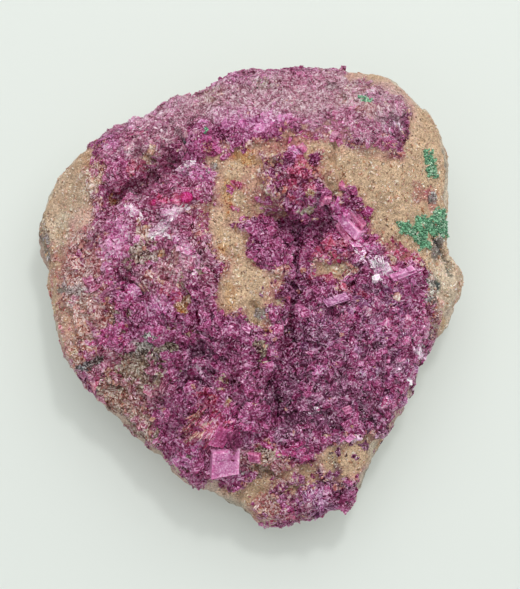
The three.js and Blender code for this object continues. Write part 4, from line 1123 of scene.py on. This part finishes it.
# ---- malachite ----
def rounded_grain(divisions):
    bm = bmesh.new()
    bmesh.ops.create_icosphere(bm, subdivisions=divisions, radius=1)
    return arrays_of(bm)


def coat_of_malachite(name, outlines, piece, facts, material):
    """A crowd of small rounded and fibrous grains on the rock within the outlines."""
    points = facts["points"]
    normals = normals_of(piece.data)
    inside = np.max([margin(plan(points), outline) for outline in outlines], axis=0)
    within = inside + 0.45 * noise(points, "fray of the malachite")
    chosen = (facts["upper"] > 0.05) & (within > -0.12)
    chosen &= rng.random(len(points)) < smoothstep(-0.3, 0.25, within)
    points = np.repeat(points[chosen], MALACHITE_CROWD, axis=0)
    normals = np.repeat(normals[chosen], MALACHITE_CROWD, axis=0)
    count = len(points)
    shape, shape_faces = rounded_grain(1)
    radii = MALACHITE_GRAIN * 0.5 * (0.6 + 0.8 * rng.random((count, 1)))
    directions = unit(normals + 0.9 * jitter(count))
    frames = turned_frames(directions, 6.28 * rng.random(count))
    stretch = radii * np.array([0.8, 0.8, 1.5]) * (0.75 + 0.5 * rng.random((count, 3)))
    centres = points + 0.3 * jitter(count) + normals * radii * 0.25
    vertices, faces = placed_copies(shape, shape_faces, stretch, frames, centres)
    colours = linear(MALACHITE_COLOURS)
    light = 0.5 + noise(points, "tone of the malachite") + 0.5 * (rng.random(count) - 0.5)
    tints = colours[np.clip(light * len(colours), 0, len(colours) - 1).astype(int)]
    coat = write_mesh(name, vertices, faces.tolist(), tint=np.repeat(tints, len(shape), axis=0))
    finish_piece(coat, material, "malachite", *([name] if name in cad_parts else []))
    shade_smooth(coat)


# ---- materials ----
def new_material(name):
    material = bpy.data.materials.new(name)
    material.use_nodes = True
    tree = material.node_tree
    return material, tree, tree.nodes["Principled BSDF"]


def feed(tree, node, inputs):
    """Sets a node's inputs: a socket is linked, and a number, vector or colour is kept."""
    for key, given in inputs.items():
        if isinstance(given, bpy.types.NodeSocket):
            tree.links.new(given, node.inputs[key])
        else:
            node.inputs[key].default_value = given


def add(tree, kind, inputs=None, **settings):
    node = tree.nodes.new(kind)
    for key, value in settings.items():
        setattr(node, key, value)
    feed(tree, node, inputs or {})
    return node


def vertex_value(tree, name, output):
    return add(tree, "ShaderNodeAttribute", attribute_name=name).outputs[output]


def object_place(tree):
    return add(tree, "ShaderNodeTexCoord").outputs["Object"]


def remap(tree, value, low, high, start=0.0, end=1.0):
    """A value moved from one range to another and held there."""
    ranges = {"From Min": low, "From Max": high, "To Min": start, "To Max": end}
    return add(tree, "ShaderNodeMapRange", {"Value": value, **ranges}).outputs["Result"]


def combine(tree, operation, first, second):
    """Math on two sockets or numbers."""
    return add(tree, "ShaderNodeMath", {0: first, 1: second}, operation=operation).outputs[0]


def combine_vectors(tree, operation, *given):
    """Vector math on sockets or triples."""
    return add(tree, "ShaderNodeVectorMath", dict(enumerate(given)), operation=operation).outputs[0]


def scaled(tree, vector, scale):
    return add(tree, "ShaderNodeVectorMath", {0: vector, "Scale": scale}, operation="SCALE").outputs[0]


def mixed(tree, kind, share, first, second):
    """The first of two colours or vectors, giving way to the second by a share."""
    inputs = {"Factor": share, "A": first, "B": second}
    return add(tree, "ShaderNodeMix", inputs, data_type=kind).outputs["Result"]


def paled(tree, way, colour, share):
    """A colour that gives way by a share to a paler one, in one of the ways of PALER."""
    return mixed(tree, "RGBA", share, colour, combine_vectors(tree, "MULTIPLY_ADD", colour, *PALER[way]))


def noise_lines(tree, scale, width, shift):
    """1 on thin wandering lines through the object, 0 away from them."""
    moved = combine_vectors(tree, "ADD", object_place(tree), (shift, shift, shift))
    waves = add(tree, "ShaderNodeTexNoise",
                {"Vector": moved, "Scale": scale, "Detail": 2.0, "Distortion": LINE_DISTORTION})
    away = combine(tree, "ABSOLUTE", combine(tree, "SUBTRACT", waves.outputs["Fac"], 0.5), 0.0)
    return remap(tree, away, 0.0, width, 1.0, 0.0)


def new_group(name, inputs, outputs):
    """A node group, and its nodes for what comes in and what goes out: each label has the kind of
    its socket, a Color, a Float or a Vector."""
    group = bpy.data.node_groups.new(name, "ShaderNodeTree")
    for in_out, sockets in (("INPUT", inputs), ("OUTPUT", outputs)):
        for label, kind in sockets.items():
            group.interface.new_socket(label, in_out=in_out, socket_type=f"NodeSocket{kind}")
    return group, add(group, "NodeGroupInput"), add(group, "NodeGroupOutput")


def place_group(tree, group, **inputs):
    return add(tree, "ShaderNodeGroup", inputs, node_tree=group)


def mottle_group():
    """Makes a colour lighter and darker in spots."""
    sockets = {"Colour": "Color", "Scale": "Float", "Amount": "Float"}
    group, start, end = new_group("mottle", sockets, {"Colour": "Color", "Height": "Float"})
    inputs = {"Vector": object_place(group), "Scale": start.outputs["Scale"]}
    spots = add(group, "ShaderNodeTexNoise", {**inputs, "Detail": 4.0, "Roughness": 0.62})
    spread = combine(group, "SUBTRACT", spots.outputs["Fac"], 0.5)
    factor = combine(group, "ADD", combine(group, "MULTIPLY", spread, start.outputs["Amount"]), 1.0)
    shade = scaled(group, start.outputs["Colour"], combine(group, "MAXIMUM", factor, LEAST_SHADE))
    feed(group, end, {"Colour": shade, "Height": spots.outputs["Fac"]})
    return group


def wisp_group():
    """Fine pale edges, painted highlights, and dark seams between grains, painted shade, as thin wandering
    lines.
    """
    sockets = {"Colour": "Color", "Scale": "Float", "Pale": "Float", "Dark": "Float"}
    group, start, end = new_group("wisps", sockets, {"Colour": "Color", "Height": "Float"})
    edges = noise_lines(group, start.outputs["Scale"], WISP_WIDTH, 0.0)
    finer = combine(group, "MULTIPLY", start.outputs["Scale"], SEAM_SCALE)
    seams = noise_lines(group, finer, SEAM_WIDTH, SEAM_SHIFT)
    pale = combine(group, "MULTIPLY", edges, start.outputs["Pale"])
    dark = combine(group, "MULTIPLY", seams, start.outputs["Dark"])
    lit = paled(group, "wisp", start.outputs["Colour"], pale)
    shade = scaled(group, lit, combine(group, "SUBTRACT", 1.0, dark))
    feed(group, end, {"Colour": shade, "Height": combine(group, "SUBTRACT", pale, dark)})
    return group


def bundled_place(group, where, own):
    """A place turned to its bundle's own way and squeezed along it, which makes the slivers long.
    Own is the bundle's colour, three numbers of its own."""
    number = add(group, "ShaderNodeSeparateXYZ", {0: own}).outputs["X"]
    turn = combine(group, "MULTIPLY", number, BUNDLE_TURN)
    axis = combine_vectors(group, "SUBTRACT", own, (0.5, 0.5, 0.5))
    turned = add(group, "ShaderNodeVectorRotate", {"Vector": where, "Axis": axis, "Angle": turn},
                 rotation_type="AXIS_ANGLE")
    return combine_vectors(group, "MULTIPLY", turned.outputs[0], (1.0, 1.0, SLIVER_LENGTH))


def blades_group():
    """The druse's finest grain: bundles of slivers that run their own way, each with a tone and a
    slope of its own, thin pale lines (painted highlights) or dark lines (painted shade) around
    larger ones, and painted sparkle on a few slivers. Dark parts turn deeper in colour and pale parts
    whiter."""
    group, start, end = new_group(
        "blades", {"Colour": "Color", "Crisp": "Float"}, {"Colour": "Color", "Normal": "Vector"})
    crisp = start.outputs["Crisp"]
    where = object_place(group)
    bundle = add(group, "ShaderNodeTexVoronoi", {"Vector": where, "Scale": BUNDLE_SCALE}).outputs["Color"]
    along = bundled_place(group, where, bundle)
    sliver = add(group, "ShaderNodeTexVoronoi", {"Vector": along, "Scale": SLIVER_SCALE}).outputs["Color"]
    lines = add(group, "ShaderNodeTexVoronoi", {"Vector": along, "Scale": LINE_SCALE},
                feature="DISTANCE_TO_EDGE")
    spots = add(group, "ShaderNodeTexNoise",
                {"Vector": where, "Scale": SPOT_SCALE, "Detail": 3.0, "Roughness": 0.6})
    own = add(group, "ShaderNodeSeparateXYZ", {0: bundle})
    tone = add(group, "ShaderNodeSeparateXYZ", {0: sliver})

    on_line = remap(group, lines.outputs["Distance"], 0.0, LINE_WIDTH, 1.0, 0.0)
    line_tone = remap(group, own.outputs["Y"], 0.45, 0.55, *LINE_TONES)
    power = combine(group, "MULTIPLY", on_line, line_tone)
    for value, amount in ((tone.outputs["X"], SLIVER_TONE), (spots.outputs["Fac"], SPOT_TONE)):
        share = combine(group, "MULTIPLY", combine(group, "SUBTRACT", 0.5, value), amount)
        power = combine(group, "ADD", power, share)
    power = combine(group, "ADD", combine(group, "MULTIPLY", power, crisp), 1.0)
    gamma = remap(group, power, *POWERS, *POWERS)
    deeper = add(group, "ShaderNodeGamma", {"Color": start.outputs["Colour"], "Gamma": gamma}).outputs[0]
    # painted sparkle: a few slivers paled like glinting facets
    painted_sparkle = combine(group, "MULTIPLY", remap(group, tone.outputs["Y"], *PAINTED_SPARKLE_RANGE), crisp)
    lit = paled(group, "sliver", deeper, combine(group, "MULTIPLY", painted_sparkle, 0.9))

    slope = combine_vectors(group, "SUBTRACT", sliver, (0.5, 0.5, 0.5))
    slope = scaled(group, slope, combine(group, "MULTIPLY", crisp, SLIVER_TILT))
    surface = add(group, "ShaderNodeNewGeometry").outputs["Normal"]
    normal = combine_vectors(group, "NORMALIZE", combine_vectors(group, "ADD", slope, surface))
    feed(group, end, {"Colour": lit, "Normal": normal})
    return group


def painted_edge_highlights(tree, tint):
    """Painted highlight: lightens a colour towards a crystal's edges, where light catches them, from each
    vertex's place between them.
    """
    away = combine_vectors(tree, "ABSOLUTE", vertex_value(tree, "corner", "Vector"))
    x, y, z = add(tree, "ShaderNodeSeparateXYZ", {0: away}).outputs
    high = combine(tree, "MAXIMUM", x, y)
    low = combine(tree, "MINIMUM", x, y)
    second_highest = combine(tree, "MAXIMUM", combine(tree, "MINIMUM", high, z), low)
    return paled(tree, "edge", tint, remap(tree, second_highest, *EDGE_BAND, 0.0, PAINTED_EDGE_HIGHLIGHT))


def crystal_skin(tree, groups, colour):
    """The druse's finest grain, with its painted highlights and shade: its colour and its normal, from the
    colour beneath.
    """
    crisp = vertex_value(tree, "crisp", "Fac")
    blades = place_group(tree, groups["blades"], Colour=colour, Crisp=crisp)
    return blades.outputs["Colour"], blades.outputs["Normal"]


def dolomite_material(groups):
    material, tree, shader = new_material("cobaltoan_dolomite")
    tint = painted_edge_highlights(tree, vertex_value(tree, "tint", "Vector"))
    colour, normal = crystal_skin(tree, groups, tint)
    feed(tree, shader, {
        "Base Color": colour,
        "Roughness": remap(tree, vertex_value(tree, "gloss", "Fac"), 0.0, 1.0, *ROUGHNESS_BY_GLOSS),
        "Normal": normal,
        "IOR": 1.68,
        "Specular IOR Level": 0.4,
        "Specular Tint": (1.0, 0.5, 0.8, 1),
        "Subsurface Weight": 0.25,
        "Subsurface Radius": (1.0, 0.35, 0.7),
        "Subsurface Scale": 0.0005,
    })
    return material


def rock_material(groups):
    """Sandy dolostone with grain, dark flecks and pits where it is bare, and the druse's own
    finish where it is the bed of the crystals."""
    material, tree, shader = new_material("dolostone")
    where = object_place(tree)
    tint = vertex_value(tree, "tint", "Vector")
    bare = vertex_value(tree, "bare", "Fac")
    mottle, wisp = groups["mottle"], groups["wisps"]
    blotch = place_group(tree, mottle, Colour=tint, Scale=420.0, Amount=1.0)
    grain = place_group(tree, mottle, Colour=blotch.outputs["Colour"], Scale=3600.0, Amount=1.5)
    wisps = place_group(tree, wisp, Colour=grain.outputs["Colour"], Scale=1400.0, Pale=0.15, Dark=0.45)
    patchy = add(tree, "ShaderNodeTexNoise", {"Vector": where, "Scale": 420.0, "Detail": 2.0})
    specks = add(tree, "ShaderNodeTexNoise",
                 {"Vector": where, "Scale": 2300.0, "Detail": 1.0, "Distortion": 0.7})
    shown = combine(tree, "MULTIPLY", remap(tree, specks.outputs["Fac"], 0.62, 0.68),
                    remap(tree, patchy.outputs["Fac"], 0.4, 0.6, 0.25, 0.85))
    seams = combine(tree, "MULTIPLY", wisps.outputs["Height"], 0.3)
    height = combine(tree, "ADD", grain.outputs["Height"], seams)
    pitted = combine(tree, "SUBTRACT", height, shown)
    bump = add(tree, "ShaderNodeBump", {"Strength": 0.9, "Distance": 0.00022, "Height": pitted})
    rock = mixed(tree, "RGBA", shown, wisps.outputs["Colour"], SPECK_COLOUR)
    crust, crust_normal = crystal_skin(tree, groups, tint)
    feed(tree, shader, {
        "Base Color": mixed(tree, "RGBA", bare, crust, rock),
        "Normal": mixed(tree, "VECTOR", bare, crust_normal, bump.outputs["Normal"]),
        "Roughness": remap(tree, bare, 0.0, 1.0, *ROUGHNESS_BY_BARENESS),
        "Specular IOR Level": 0.2,
    })
    return material


def malachite_material(groups):
    material, tree, shader = new_material("malachite")
    tint = vertex_value(tree, "tint", "Vector")
    spots = place_group(tree, groups["mottle"], Colour=tint, Scale=2400.0, Amount=2.4)
    wisps = place_group(
        tree, groups["wisps"], Colour=spots.outputs["Colour"], Scale=1500.0, Pale=0.5, Dark=0.4)
    bump = add(tree, "ShaderNodeBump",
               {"Strength": 0.5, "Distance": 0.00006, "Height": spots.outputs["Height"]})
    feed(tree, shader, {
        "Base Color": wisps.outputs["Colour"], "Normal": bump.outputs["Normal"], "Roughness": 0.6})
    return material


def finish_piece(piece, material, slot, *nodes):
    piece.data.materials.append(material)
    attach(piece, "root")
    if nodes:
        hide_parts(*nodes)


# ---- studio ----
def look_at(thing, place, target):
    thing.location = Vector(place) * MM
    direction = Vector(target) - Vector(place)
    thing.rotation_euler = direction.to_track_quat("-Z", "Y").to_euler()


def place_camera(scene):
    camera = bpy.data.objects.new("camera", bpy.data.cameras.new("camera"))
    camera.data.lens = CAMERA["lens"]
    camera.data.sensor_width = CAMERA["sensor"]
    camera.data.clip_start = CLIP_START
    look_at(camera, CAMERA["place"], CAMERA["target"])
    scene.collection.objects.link(camera)
    scene.camera = camera


def light_studio(scene):
    world = bpy.data.worlds.new("studio")
    world.use_nodes = True
    feed(world.node_tree, world.node_tree.nodes["Background"], SKY)
    scene.world = world
    for name, place, size, power in LIGHTS:
        light = bpy.data.objects.new(name, bpy.data.lights.new(name, "AREA"))
        light.data.size = size
        light.data.energy = power
        look_at(light, place, LIGHT_TARGET)
        scene.collection.objects.link(light)


def lay_floor(scene):
    bm = bmesh.new()
    bmesh.ops.create_grid(bm, x_segments=1, y_segments=1, size=FLOOR_HALF_SIZE)
    mesh = bpy.data.meshes.new("floor")
    bm.to_mesh(mesh)
    bm.free()
    floor = bpy.data.objects.new("floor", mesh)
    material, tree, shader = new_material("paper")
    feed(tree, shader, PAPER)
    mesh.materials.append(material)
    scene.collection.objects.link(floor)


bpy.context.scene.view_settings.view_transform = "Standard"
place_camera(bpy.context.scene)
light_studio(bpy.context.scene)
lay_floor(bpy.context.scene)
groups = {"mottle": mottle_group(), "wisps": wisp_group(), "blades": blades_group()}
dolomite = dolomite_material(groups)
rock = remeshed_rock()
rock_facts = shape_rock(rock)
colour_rock(rock, rock_facts)
finish_piece(rock, rock_material(groups), "dolostone", "matrix")
shade_smooth(rock)
grow_druse(rock, rock_facts, dolomite)
bm = bmesh.new()
bm.from_mesh(rock.data)
grow_named_crystals(BVHTree.FromBMesh(bm), dolomite)
bm.free()
malachite = malachite_material(groups)
for coat, outline in MALACHITE_COATS.items():
    outlines = [outline, FLECK_BY_THE_CREST] if coat == "malachite_flecks" else [outline]
    coat_of_malachite(coat, outlines, rock, rock_facts, malachite)

bpy.context.view_layer.update()
